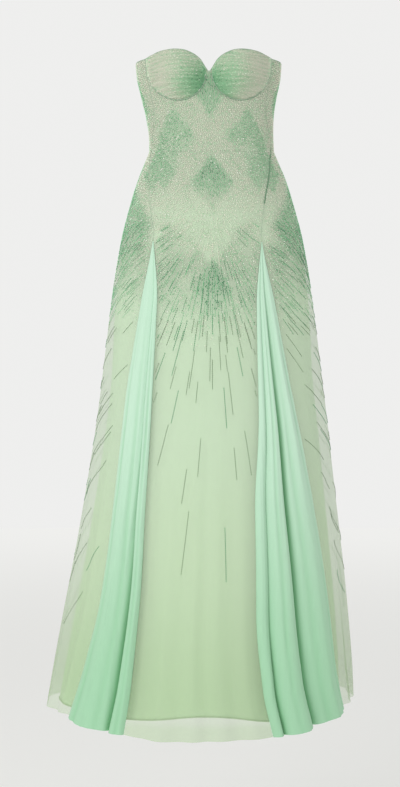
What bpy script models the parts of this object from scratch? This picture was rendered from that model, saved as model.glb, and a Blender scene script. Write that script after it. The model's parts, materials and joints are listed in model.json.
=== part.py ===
"""A strapless evening gown, worn and hollow, with nobody in it.

Metres, Z up. The front faces -Y, left is -X and right is +X as seen from the front.
The origin is the centre of the waist, where the boned bodice grips its wearer.
A place on the cloth is an angle round the body, 0 at the centre front and positive
to the right, and a level, which is the height that the cloth would have if the hem
were cut at the same height all round.
"""

import math
from collections import namedtuple

import bmesh
import bpy
from mathutils import Vector

MM = 0.001

# Heights of the main lines.
JOIN = 0.080                # where the rows shared by all gores start, just under the cups
HEM_LEVEL = -1.1695         # level of the hem, and its height at the sides
FRONT_HEM = -1.2045         # height of the hem at the centre front
BACK_HEM = -1.2045          # height of the hem at the centre back
HEM_TURN = (16.0, 64.0)     # the hem rises to its side height between these angles
HEM_SHIFT = 6.0             # its lowest place is this far right of the centre front
HEM_TILT = 0.0060           # the left of the hem hangs this much lower than the middle
GODET_TOP = -0.1935         # the chiffon godets start at hip height
LINING_TOP = -0.010         # the lining is sewn in at the waist
LINING_SHORTER = 0.012      # it ends this far above the hem
LINING_ARCH = 0.032         # and this much more at the centre front
ARCH_ANGLE = 45.0

# Thickness of the walls, and the gap between two pieces at a seam.
TULLE = 1.3 * MM
CHIFFON = 1.9 * MM
LINING = 1.2 * MM
CUP = 2.6 * MM
SEAM_GAP = 0.3 * MM

# The cups: an ellipse as seen from the front, cut off by the neckline.
CUP_CENTRE = 0.0680         # from the middle of the body
CUP_HALF_WIDTH = 0.0613
CUP_LEVEL = 0.1400          # height of the cup's widest place
CUP_BELOW = 0.0525          # from there down to the underwire
CUP_ABOVE = 0.0780          # from there up to where the dome would close
CUP_PROJECTION = 0.0460
CUP_SPREAD = 0.10           # sideways share of the projection
BUST_HALF_WIDTH = 0.1544

BACK_SEAM = 128.0           # angle of the seams between side gores and back gores
ZIP_SEAM = 180.0

# Columns across each piece and rows above JOIN.
SIDE_COLUMNS = 16
BACK_COLUMNS = 9
CUP_COLUMNS = 14
CUP_ROWS = 8
YOKE_ROWS = 4
SEAM_STEPS = 3              # rounds that settle the height of the top edge along a slanted seam
LINING_COLUMNS = 22
LEVELS = (JOIN, 0.055, 0.030, 0.008, -0.010, -0.030, -0.055, -0.085, -0.120, -0.160, GODET_TOP,
          -0.250, -0.310, -0.380, -0.460, -0.550, -0.650, -0.750, -0.850, -0.950, -1.040, -1.110,
          HEM_LEVEL)
LINING_LEVELS = (LINING_TOP, -0.030, -0.055, -0.085, -0.120, -0.160, GODET_TOP, -0.310, -0.460,
                 -0.650, -0.850, -1.040, HEM_LEVEL)

# Cross-sections of the outer cloth: centre, half width, and depth before and behind the centre.
Section = namedtuple("Section", "z centre half_width front back")
SECTIONS = (
    Section(0.190, -0.0064, 0.1550, 0.092, 0.087),
    Section(0.150, -0.0060, 0.1520, 0.099, 0.090),
    Section(0.105, -0.0055, 0.1425, 0.100, 0.090),
    Section(0.060, -0.0032, 0.1342, 0.097, 0.087),
    Section(0.018, -0.0006, 0.1312, 0.093, 0.085),
    Section(-0.006, 0.0000, 0.1315, 0.092, 0.086),
    Section(-0.026, 0.0000, 0.1385, 0.096, 0.091),
    Section(-0.068, 0.0005, 0.1555, 0.106, 0.103),
    Section(-0.111, 0.0005, 0.1693, 0.115, 0.115),
    Section(-0.196, 0.0008, 0.1917, 0.130, 0.134),
    Section(-0.324, 0.0010, 0.2130, 0.152, 0.156),
    Section(-0.537, 0.0010, 0.2396, 0.185, 0.191),
    Section(-0.792, -0.0050, 0.2730, 0.225, 0.233),
    Section(-1.048, -0.0180, 0.3090, 0.268, 0.275),
    Section(-1.176, -0.0265, 0.3240, 0.290, 0.297),
)

# Angles of the front princess seams. Below the godets' tops each seam parts in two,
# the front gore's edge and the side gore's edge, with the godet between them.
Seam = namedtuple("Seam", "z left_side left_front right_front right_side")
SEAMS = (
    Seam(0.190, 59.0, 59.0, 59.0, 59.0),
    Seam(0.080, 59.0, 59.0, 59.0, 59.0),
    Seam(0.030, 68.0, 68.0, 67.0, 67.0),
    Seam(-0.004, 74.0, 74.0, 72.0, 72.0),
    Seam(-0.030, 67.5, 67.5, 61.0, 61.0),
    Seam(-0.068, 58.0, 58.0, 50.0, 50.0),
    Seam(-0.111, 50.5, 50.5, 41.0, 41.0),
    Seam(-0.150, 44.5, 44.5, 35.8, 35.8),
    Seam(GODET_TOP, 39.6, 39.6, 32.2, 32.2),
    Seam(-0.330, 43.5, 32.0, 25.0, 37.0),
    Seam(-0.560, 48.5, 30.9, 22.6, 45.2),
    Seam(-0.740, 47.6, 29.6, 19.6, 52.0),
    Seam(-0.930, 46.8, 27.3, 19.6, 57.0),
    Seam(-1.080, 50.2, 26.8, 22.5, 59.5),
    Seam(HEM_LEVEL, 54.2, 27.5, 26.8, 64.6),
)

# Height of the top edge by angle, from the notch over a cup to the side and the back.
Edge = namedtuple("Edge", "angle height")
NECKLINE = (
    Edge(0.0, 0.1415), Edge(2.4, 0.1500), Edge(4.0, 0.1570), Edge(6.5, 0.1678), Edge(12.0, 0.1787),
    Edge(20.0, 0.1858), Edge(28.0, 0.1873), Edge(38.0, 0.1872), Edge(50.0, 0.1850), Edge(62.0, 0.1787),
    Edge(90.0, 0.1780), Edge(120.0, 0.1680), Edge(150.0, 0.1560), Edge(180.0, 0.1520),
)

# How far the lining's rings lie inside the outer cloth's, at the sides and front and back.
Inset = namedtuple("Inset", "z side depth")
INSETS = (
    Inset(0.010, 2.6 * MM, 2.6 * MM),
    Inset(-0.060, 2.9 * MM, 2.9 * MM),
    Inset(-0.200, 4.5 * MM, 5.0 * MM),
    Inset(-0.330, 9.0 * MM, 8.0 * MM),
    Inset(-0.520, 21.0 * MM, 11.0 * MM),
    Inset(-0.900, 24.0 * MM, 15.0 * MM),
    Inset(-1.170, 26.0 * MM, 19.0 * MM),
)

# Soft folds in the flat gores and the lining: place across the piece at the hem (0 to 1),
# width as a share of the piece, depth at the hem (outwards is positive), and where it starts.
Fold = namedtuple("Fold", "place width depth start")
FOLDS = {
    "front": (
        Fold(0.13, 0.060, -0.0045, -0.50), Fold(0.24, 0.055, 0.0050, -0.42),
        Fold(0.37, 0.050, -0.0035, -0.70), Fold(0.47, 0.045, 0.0050, -0.35),
        Fold(0.56, 0.040, -0.0045, -0.40), Fold(0.66, 0.055, 0.0040, -0.62),
        Fold(0.77, 0.050, -0.0035, -0.55), Fold(0.88, 0.055, 0.0045, -0.50),
    ),
    "side_left": (
        Fold(0.14, 0.060, 0.0060, -0.36), Fold(0.27, 0.055, -0.0050, -0.45),
        Fold(0.41, 0.070, 0.0040, -0.30), Fold(0.56, 0.070, -0.0035, -0.50),
        Fold(0.70, 0.060, 0.0050, -0.35), Fold(0.82, 0.055, -0.0060, -0.42),
        Fold(0.91, 0.050, 0.0060, -0.55),
    ),
    "side_right": (
        Fold(0.12, 0.055, 0.0060, -0.40), Fold(0.24, 0.055, -0.0060, -0.32),
        Fold(0.36, 0.065, 0.0045, -0.38), Fold(0.50, 0.070, -0.0035, -0.55),
        Fold(0.65, 0.065, 0.0050, -0.33), Fold(0.78, 0.055, -0.0060, -0.48),
        Fold(0.90, 0.050, 0.0065, -0.40),
    ),
    "back": (
        Fold(0.17, 0.080, 0.0080, -0.38), Fold(0.36, 0.080, -0.0080, -0.46),
        Fold(0.56, 0.080, 0.0090, -0.34), Fold(0.76, 0.080, -0.0080, -0.52),
        Fold(0.91, 0.070, 0.0060, -0.60),
    ),
    "lining_front": (
        Fold(0.23, 0.050, 0.0060, -0.62), Fold(0.36, 0.070, -0.0040, -0.70),
        Fold(0.50, 0.090, 0.0030, -0.80), Fold(0.64, 0.070, -0.0040, -0.70),
        Fold(0.77, 0.050, 0.0060, -0.62),
    ),
    "lining_back": (
        Fold(0.20, 0.080, 0.0060, -0.60), Fold(0.40, 0.080, -0.0050, -0.70),
        Fold(0.60, 0.080, 0.0060, -0.60), Fold(0.80, 0.080, -0.0050, -0.70),
    ),
}
FOLD_EDGE = 0.12            # folds fade out over this share of the piece beside a seam

# The godets fall in lobes with sharp valleys between them. A lobe ends at a share of the
# way from the front gore to the side gore, at the start of its valley and at the hem.
Lobe = namedtuple("Lobe", "end_top end_hem height columns")
GODET_LOBES = {
    "left": (Lobe(0.24, 0.24, 0.0150, 5), Lobe(1.0, 1.0, 0.0260, 12)),
    "right": (Lobe(0.20, 0.125, 0.0110, 4), Lobe(0.46, 0.47, 0.0240, 7), Lobe(1.0, 1.0, 0.0250, 9)),
}
LOBE_ROUNDNESS = 0.72
LOBE_GROWTH = 0.85          # the power by which lobes rise on the way down
LOBES_FULL = 0.87           # share of the way down where they are full
GODET_START = 0.011         # below GODET_TOP, where the godet's wall first has a width
GODET_LONGER = 0.003        # the lobes' hems hang this much lower

# The concealed zip's slider at the top of the centre back, and its pull tab.
SLIDER_SIZE = Vector((5.0 * MM, 2.4 * MM, 8.0 * MM))
SLIDER_BELOW_EDGE = 9.0 * MM
BAR_RADIUS = 0.50 * MM
BAR_OUT = 2.1 * MM          # from the slider's face to the bar's axis
POST_WIDTH = 0.7 * MM
EYE_RADIUS = 1.5 * MM
EYE_HOLE_RADIUS = 0.80 * MM
EYE_WIDTH = 2.2 * MM
TAB_LENGTH = 20.0 * MM
TAB_NECK = 2.2 * MM
TAB_END = 4.4 * MM
TAB_THICKNESS = 1.0 * MM
SOLID_BEVEL = 0.4 * MM

# Colour, roughness and metallic value of each material.
Finish = namedtuple("Finish", "colour roughness metallic")
FINISHES = {
    "beaded_tulle": Finish((0.44, 0.60, 0.42, 1.0), 0.45, 0.0),
    "cup_tulle": Finish((0.50, 0.64, 0.46, 1.0), 0.45, 0.0),
    "mint_chiffon": Finish((0.50, 0.80, 0.62, 1.0), 0.70, 0.0),
    "lining": Finish((0.55, 0.72, 0.44, 1.0), 0.60, 0.0),
    "zip_metal": Finish((0.55, 0.62, 0.55, 1.0), 0.35, 0.8),
}


def clear_scene():
    for obj in list(bpy.data.objects):
        bpy.data.objects.remove(obj, do_unlink=True)


def material(name):
    found = bpy.data.materials.get(name)
    if found:
        return found
    made = bpy.data.materials.new(name)
    made.use_nodes = True
    shader = made.node_tree.nodes["Principled BSDF"]
    finish = FINISHES[name]
    shader.inputs["Base Color"].default_value = finish.colour
    shader.inputs["Roughness"].default_value = finish.roughness
    shader.inputs["Metallic"].default_value = finish.metallic
    return made


def limited_slopes(xs, ys):
    """Slopes of a cubic through the points that never overshoots them."""
    steps = [(ys[i + 1] - ys[i]) / (xs[i + 1] - xs[i]) for i in range(len(xs) - 1)]
    slopes = [steps[0]]
    for before, after in zip(steps, steps[1:]):
        slopes.append(0.0 if before * after <= 0 else 2 * before * after / (before + after))
    slopes.append(steps[-1])
    return slopes


def smooth_columns(table):
    """A function of the table's first column that gives its other columns, smoothly joined."""
    rows = sorted(table)
    xs = [row[0] for row in rows]
    columns = list(zip(*rows))[1:]
    slopes = [limited_slopes(xs, column) for column in columns]

    def at(x):
        x = min(max(x, xs[0]), xs[-1])
        i = max(k for k in range(len(xs) - 1) if xs[k] <= x)
        width = xs[i + 1] - xs[i]
        t = (x - xs[i]) / width
        found = []
        for column, slope in zip(columns, slopes):
            start = column[i] * (1 + 2 * t) * (1 - t) ** 2 + slope[i] * width * t * (1 - t) ** 2
            end = column[i + 1] * t * t * (3 - 2 * t) + slope[i + 1] * width * t * t * (t - 1)
            found.append(start + end)
        return found

    return at


section_at = smooth_columns(SECTIONS)
seams_at = smooth_columns(SEAMS)
neckline_at = smooth_columns(NECKLINE)
inset_at = smooth_columns(INSETS)


def smoothstep(t):
    t = min(max(t, 0.0), 1.0)
    return t * t * (3 - 2 * t)


def even_shares(columns):
    return [c / columns for c in range(columns + 1)]


def neckline(angle):
    return neckline_at(abs(angle))[0]


def hem_height(angle):
    """Height of the hem at an angle: level at the sides, lower before and behind."""
    lowest = FRONT_HEM if abs(angle) < 90 else BACK_HEM
    turned = abs((angle - HEM_SHIFT + 180) % 360 - 180)
    from_middle = min(turned, 180 - turned)
    drop = smoothstep((HEM_TURN[1] - from_middle) / (HEM_TURN[1] - HEM_TURN[0]))
    return HEM_LEVEL + (lowest - HEM_LEVEL) * drop + HEM_TILT * math.sin(math.radians(angle))


def height_of(angle, level):
    if level >= JOIN:
        return level
    return JOIN - (JOIN - level) * (JOIN - hem_height(angle)) / (JOIN - HEM_LEVEL)


def ring_point(angle, level, inset=(0.0, 0.0)):
    """A point on the cross-section of that level, and the direction straight out of it."""
    centre, half_width, front, back = section_at(level)
    turned = math.radians(angle)
    side, ahead = math.sin(turned), math.cos(turned)
    half_width = half_width - inset[0]
    depth = (front if ahead > 0 else back) - inset[1]
    point = Vector((centre + half_width * side, -depth * ahead, level))
    out = Vector((side / half_width, -ahead / depth, 0.0)).normalized()
    return point, out


def cup_dome(angle, level):
    """How far the cup stands off the body, as a vector."""
    across = (BUST_HALF_WIDTH * abs(math.sin(math.radians(angle))) - CUP_CENTRE) / CUP_HALF_WIDTH
    reach = CUP_BELOW if level < CUP_LEVEL else CUP_ABOVE
    closeness = 1 - across ** 2 - ((level - CUP_LEVEL) / reach) ** 2
    if closeness <= 0 or abs(angle) > 90:
        return Vector((0.0, 0.0, 0.0))
    side = math.copysign(CUP_SPREAD, angle)
    return Vector((side, -1.0, 0.0)) * CUP_PROJECTION * closeness


def cloth_point(angle, level, lift=0.0, inset=(0.0, 0.0)):
    """A point of the outer cloth, moved out by lift."""
    point, out = ring_point(angle, level, inset)
    point.z = height_of(angle, level)
    return point + out * lift + cup_dome(angle, level)


def underwire(angle, margin=0.0):
    """Height of a cup's lower edge, or of a line outside it by a margin."""
    across = BUST_HALF_WIDTH * abs(math.sin(math.radians(angle))) - CUP_CENTRE
    across /= CUP_HALF_WIDTH + margin
    return CUP_LEVEL - (CUP_BELOW + margin) * math.sqrt(max(0.0, 1 - across ** 2))


def cup_angles():
    """Angles of a cup's columns, from the notch to the side seam, closer near its ends."""
    inner = math.degrees(math.asin((CUP_CENTRE - CUP_HALF_WIDTH) / BUST_HALF_WIDTH))
    outer = seams_at(CUP_LEVEL)[0] - half_gap_angle(CUP_LEVEL)
    angles = []
    for share in even_shares(CUP_COLUMNS):
        eased = share / 2 + (1 - math.cos(math.pi * share)) / 4
        angles.append(inner + (outer - inner) * eased)
    return angles


def half_gap_angle(level):
    """Half a seam's gap, as an angle at that level."""
    _, half_width, front, back = section_at(level)
    return math.degrees(0.5 * SEAM_GAP / min(half_width, front, back))


def fold_lift(piece, share, level):
    """How far the soft folds move the cloth out, at a share of the way across the piece."""
    fade = smoothstep(share / FOLD_EDGE) * smoothstep((1 - share) / FOLD_EDGE)
    lift = 0.0
    for fold in FOLDS[piece]:
        growth = smoothstep((fold.start - level) / (fold.start - HEM_LEVEL))
        lift += fold.depth * growth * math.exp(-(((share - fold.place) / fold.width) ** 2))
    return lift * fade


def wall(name, finish, outer, inner):
    """One closed solid between two grids of points with the same rows and columns."""
    rows, columns = len(outer), len(outer[0])
    mesh = bpy.data.meshes.new(name)
    points = [p for row in outer for p in row] + [p for row in inner for p in row]
    behind = rows * columns

    def at(row, column, face=0):
        return face * behind + row * columns + column

    faces = []
    for r in range(rows - 1):
        for c in range(columns - 1):
            faces.append((at(r, c), at(r + 1, c), at(r + 1, c + 1), at(r, c + 1)))
            faces.append((at(r, c, 1), at(r, c + 1, 1), at(r + 1, c + 1, 1), at(r + 1, c, 1)))
    for c in range(columns - 1):
        last = rows - 1
        faces.append((at(0, c), at(0, c + 1), at(0, c + 1, 1), at(0, c, 1)))
        faces.append((at(last, c), at(last, c, 1), at(last, c + 1, 1), at(last, c + 1)))
    for r in range(rows - 1):
        last = columns - 1
        faces.append((at(r, 0), at(r, 0, 1), at(r + 1, 0, 1), at(r + 1, 0)))
        faces.append((at(r, last), at(r + 1, last), at(r + 1, last, 1), at(r, last, 1)))
    mesh.from_pydata([tuple(p) for p in points], [], faces)
    mesh.update()
    mesh.materials.append(material(finish))
    mesh.shade_smooth()
    made = bpy.data.objects.new(name, mesh)
    bpy.context.scene.collection.objects.link(made)
    return made


def gore(name, fold_name, shares, edges_at, top_of):
    """A panel of the outer cloth between two seams, from its top edge down to the hem.

    shares places its columns across it, edges_at gives its two edges' angles at a level,
    and top_of the height of its top edge at an angle. The rows above JOIN are spread evenly
    up to the top edge.
    """
    outer, inner = [], []
    rises = even_shares(YOKE_ROWS)[:0:-1]
    for rise, level in [(rise, JOIN) for rise in rises] + [(0.0, level) for level in LEVELS]:
        front_row, back_row = [], []
        for share in shares:
            here = level
            for _ in range(SEAM_STEPS):
                start, end = edges_at(here)
                gap = half_gap_angle(here)
                angle = start + gap + (end - start - 2 * gap) * share
                here = level + (top_of(angle) - JOIN) * rise if rise else level
            lift = fold_lift(fold_name, share, here)
            front_row.append(cloth_point(angle, here, lift))
            back_row.append(cloth_point(angle, here, lift - TULLE))
        outer.append(front_row)
        inner.append(back_row)
    return wall(name, "beaded_tulle", outer, inner)


def make_front_gore():
    def edges(level):
        _, left_front, right_front, _ = seams_at(level)
        return -left_front, right_front

    cup = cup_angles()
    notch = cup[0] - math.degrees(SEAM_GAP / BUST_HALF_WIDTH)

    def top(angle):
        between_cups = abs(angle) < (cup[0] + notch) / 2
        return neckline(angle) if between_cups else underwire(angle, SEAM_GAP)

    angles = [-angle for angle in reversed(cup)] + [-notch, 0.0, notch] + cup
    shares = [(angle - angles[0]) / (angles[-1] - angles[0]) for angle in angles]
    return gore("front_gore", "front", shares, edges, top)


def make_side_gores():
    def right_edges(level):
        return seams_at(level)[3], BACK_SEAM

    def left_edges(level):
        return -BACK_SEAM, -seams_at(level)[0]

    shares = even_shares(SIDE_COLUMNS)
    gore("side_gore_right", "side_right", shares, right_edges, neckline)
    gore("side_gore_left", "side_left", shares, left_edges, neckline)


def make_back_gores():
    shares = even_shares(BACK_COLUMNS)
    gore("back_gore_right", "back", shares, lambda level: (BACK_SEAM, ZIP_SEAM), neckline)
    gore("back_gore_left", "back", shares, lambda level: (-ZIP_SEAM, -BACK_SEAM), neckline)


def make_cup(name, side):
    """A moulded bust cup between the underwire, the neckline and the side gore."""
    angles = cup_angles() if side > 0 else [-angle for angle in reversed(cup_angles())]
    outer, inner = [], []
    for r in range(CUP_ROWS + 1):
        drop = r / CUP_ROWS
        front_row, back_row = [], []
        for angle in angles:
            top, bottom = neckline(angle), underwire(angle)
            level = top + (bottom - top) * drop
            front_row.append(cloth_point(angle, level))
            back_row.append(cloth_point(angle, level, -CUP))
        outer.append(front_row)
        inner.append(back_row)
    return wall(name, "cup_tulle", outer, inner)


def godet_columns(side, down):
    """Shares across a godet and the lobes' heights there, one pair for each column."""
    columns, begin = [(0.0, 0.0)], 0.0
    for lobe in GODET_LOBES[side]:
        end = lobe.end_top + (lobe.end_hem - lobe.end_top) * down
        for c in range(1, lobe.columns + 1):
            place = (1 - math.cos(math.pi * c / lobe.columns)) / 2
            roundness = max(0.0, math.sin(math.pi * place)) ** LOBE_ROUNDNESS if place < 1 else 0.0
            columns.append((begin + (end - begin) * place, lobe.height * roundness))
        begin = end
    return columns


def make_godet(name, side):
    """A flared chiffon insert between the front gore and a side gore, falling in lobes."""
    outer, inner = [], []
    levels = [GODET_TOP - GODET_START] + [level for level in LEVELS if level < GODET_TOP - GODET_START]
    for level in levels:
        down = (GODET_TOP - level) / (GODET_TOP - HEM_LEVEL)
        left_side, left_front, right_front, right_side = seams_at(level)
        gap = half_gap_angle(level)
        if side == "right":
            start, end = right_front + gap, right_side - gap
        else:
            start, end = -left_front - gap, -left_side + gap
        front_row, back_row = [], []
        for share, height in godet_columns(side, down):
            angle = start + (end - start) * share
            lift = height * min(1.0, down / LOBES_FULL) ** LOBE_GROWTH
            reach = level - GODET_LONGER * (level == HEM_LEVEL) * math.sin(math.pi * share)
            front_row.append(cloth_point(angle, reach, lift))
            back_row.append(cloth_point(angle, reach, lift - CHIFFON))
        if side == "left":
            front_row.reverse()
            back_row.reverse()
        outer.append(front_row)
        inner.append(back_row)
    return wall(name, "mint_chiffon", outer, inner)


def lining_hem(angle):
    """Level of the lining's hem."""
    return HEM_LEVEL + LINING_SHORTER + LINING_ARCH * math.exp(-((angle / ARCH_ANGLE) ** 2))


def make_lining(name, fold_name, start, end):
    """Half of the lining skirt, sewn in at the waist and shorter than the tulle."""
    outer, inner = [], []
    for level in LINING_LEVELS:
        front_row, back_row = [], []
        down = max(0.0, (GODET_TOP - level) / (GODET_TOP - HEM_LEVEL))
        gap = half_gap_angle(level)
        for share in even_shares(LINING_COLUMNS):
            angle = (start + gap + (end - start - 2 * gap) * share + 180) % 360 - 180
            here = level + (lining_hem(angle) - HEM_LEVEL) * down
            lift = fold_lift(fold_name, share, here)
            front_row.append(cloth_point(angle, here, lift, inset_at(here)))
            back_row.append(cloth_point(angle, here, lift - LINING, inset_at(here)))
        outer.append(front_row)
        inner.append(back_row)
    return wall(name, "lining", outer, inner)


def solid_object(name, build, finish, helper=False):
    """An object whose mesh is filled in by build, which gets a bmesh."""
    mesh = bpy.data.meshes.new(name)
    form = bmesh.new()
    build(form)
    bmesh.ops.recalc_face_normals(form, faces=form.faces)
    form.to_mesh(mesh)
    form.free()
    if finish:
        mesh.materials.append(material(finish))
    made = bpy.data.objects.new(name, mesh)
    bpy.context.scene.collection.objects.link(made)
    if helper:
        made.hide_render = True
        made.display_type = "WIRE"
    return made


def add_box(form, low, high):
    corners = [form.verts.new((x, y, z)) for x in (low.x, high.x) for y in (low.y, high.y)
               for z in (low.z, high.z)]
    for a, b, c, d in ((0, 1, 3, 2), (4, 6, 7, 5), (0, 4, 5, 1), (2, 3, 7, 6), (0, 2, 6, 4), (1, 5, 7, 3)):
        form.faces.new((corners[a], corners[b], corners[c], corners[d]))


def add_cross_rod(form, centre, radius, half_length, sides=16):
    """A rod along X."""
    rings = []
    for x in (-half_length, half_length):
        rings.append([form.verts.new(centre + Vector((x, radius * math.cos(a), radius * math.sin(a))))
                      for a in (2 * math.pi * i / sides for i in range(sides))])
    for i in range(sides):
        j = (i + 1) % sides
        form.faces.new((rings[0][i], rings[0][j], rings[1][j], rings[1][i]))
    form.faces.new(rings[0])
    form.faces.new(rings[1])


def boolean(target, other, operation):
    step = target.modifiers.new(other.name, "BOOLEAN")
    step.operation = operation
    step.object = other
    step.solver = "EXACT"


def zip_place():
    """Centre of the slider's inner face, 0.3 mm off the cloth at the top of the centre back."""
    height = neckline(ZIP_SEAM) - SLIDER_BELOW_EDGE
    reaches = [cloth_point(ZIP_SEAM, height + step * SLIDER_SIZE.z / 2).y for step in (-1, 0, 1)]
    centre = section_at(height)[0]
    return Vector((centre, max(reaches) + SEAM_GAP, height))


def make_zip_slider(seat):
    half = SLIDER_SIZE / 2
    face = SLIDER_SIZE.y
    axis = seat + Vector((0, face + BAR_OUT, 0))
    low, high = seat + Vector((-half.x, 0, -half.z)), seat + Vector((half.x, face, half.z))
    slider = solid_object("zip_slider", lambda form: add_box(form, low, high), "zip_metal")
    bevel = slider.modifiers.new("rounded", "BEVEL")
    bevel.width = SOLID_BEVEL
    bevel.segments = 2
    post_out = Vector((POST_WIDTH / 2, 0, 2 * BAR_RADIUS))
    for side, place in ((-1, "left"), (1, "right")):
        middle = seat + Vector((side * (EYE_WIDTH / 2 + POST_WIDTH), 0, 0))
        root = middle - post_out + Vector((0, face - SOLID_BEVEL, 0))
        end = middle + post_out + Vector((0, face + BAR_OUT + BAR_RADIUS, 0))
        post = solid_object("post_" + place, lambda form, a=root, b=end: add_box(form, a, b), None, True)
        boolean(slider, post, "UNION")
    half_bar = EYE_WIDTH / 2 + POST_WIDTH
    bar = solid_object("bar", lambda form: add_cross_rod(form, axis, BAR_RADIUS, half_bar, 12), None, True)
    boolean(slider, bar, "UNION")
    return axis


def make_zip_pull(axis):
    """The teardrop tab, with its origin on the hinge."""
    def plate(form):
        half = TAB_THICKNESS / 2
        outline = [(-TAB_NECK / 2, -0.5 * EYE_RADIUS), (-TAB_NECK / 2, -2 * EYE_RADIUS)]
        steps = 8
        for i in range(steps + 1):
            a = math.pi + math.pi * i / steps
            outline.append((TAB_END / 2 * math.cos(a), -TAB_LENGTH + TAB_END / 2 + TAB_END / 2 * math.sin(a)))
        outline += [(TAB_NECK / 2, -2 * EYE_RADIUS), (TAB_NECK / 2, -0.5 * EYE_RADIUS)]
        sides = [[form.verts.new((x, y, z)) for x, z in outline] for y in (-half, half)]
        form.faces.new(sides[0])
        form.faces.new(sides[1])
        for i in range(len(outline)):
            j = (i + 1) % len(outline)
            form.faces.new((sides[0][i], sides[0][j], sides[1][j], sides[1][i]))

    pull = solid_object("zip_pull", plate, "zip_metal")
    pull.location = axis
    middle = Vector()
    eye = solid_object(
        "eye", lambda form: add_cross_rod(form, middle, EYE_RADIUS, EYE_WIDTH / 2), None, True)
    hole = solid_object(
        "eye_hole", lambda form: add_cross_rod(form, middle, EYE_HOLE_RADIUS, EYE_WIDTH), None, True)
    for helper in (eye, hole):
        helper.location = axis
    boolean(pull, eye, "UNION")
    boolean(pull, hole, "DIFFERENCE")
    return pull


def main():
    clear_scene()
    make_front_gore()
    make_side_gores()
    make_back_gores()
    make_cup("cup_left", -1)
    make_cup("cup_right", 1)
    make_godet("godet_left", "left")
    make_godet("godet_right", "right")
    make_lining("lining_front", "lining_front", -90.0, 90.0)
    make_lining("lining_back", "lining_back", 90.0, 270.0)
    make_zip_pull(make_zip_slider(zip_place()))


main()
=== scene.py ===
"""Looks of the strapless beaded gown: tulle, chiffon, lining, beadwork and trimmings.

Metres, Z up. The front faces -Y. A place on the cloth is an angle round the body, 0 at
the centre front and positive to the viewer's right, and a level, which is the height
that the cloth would have if the hem were cut at the same height all round.
"""

import json
import random
from collections import namedtuple
from math import asin, atan2, copysign, cos, degrees, exp, pi, radians, sin, sqrt

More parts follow.
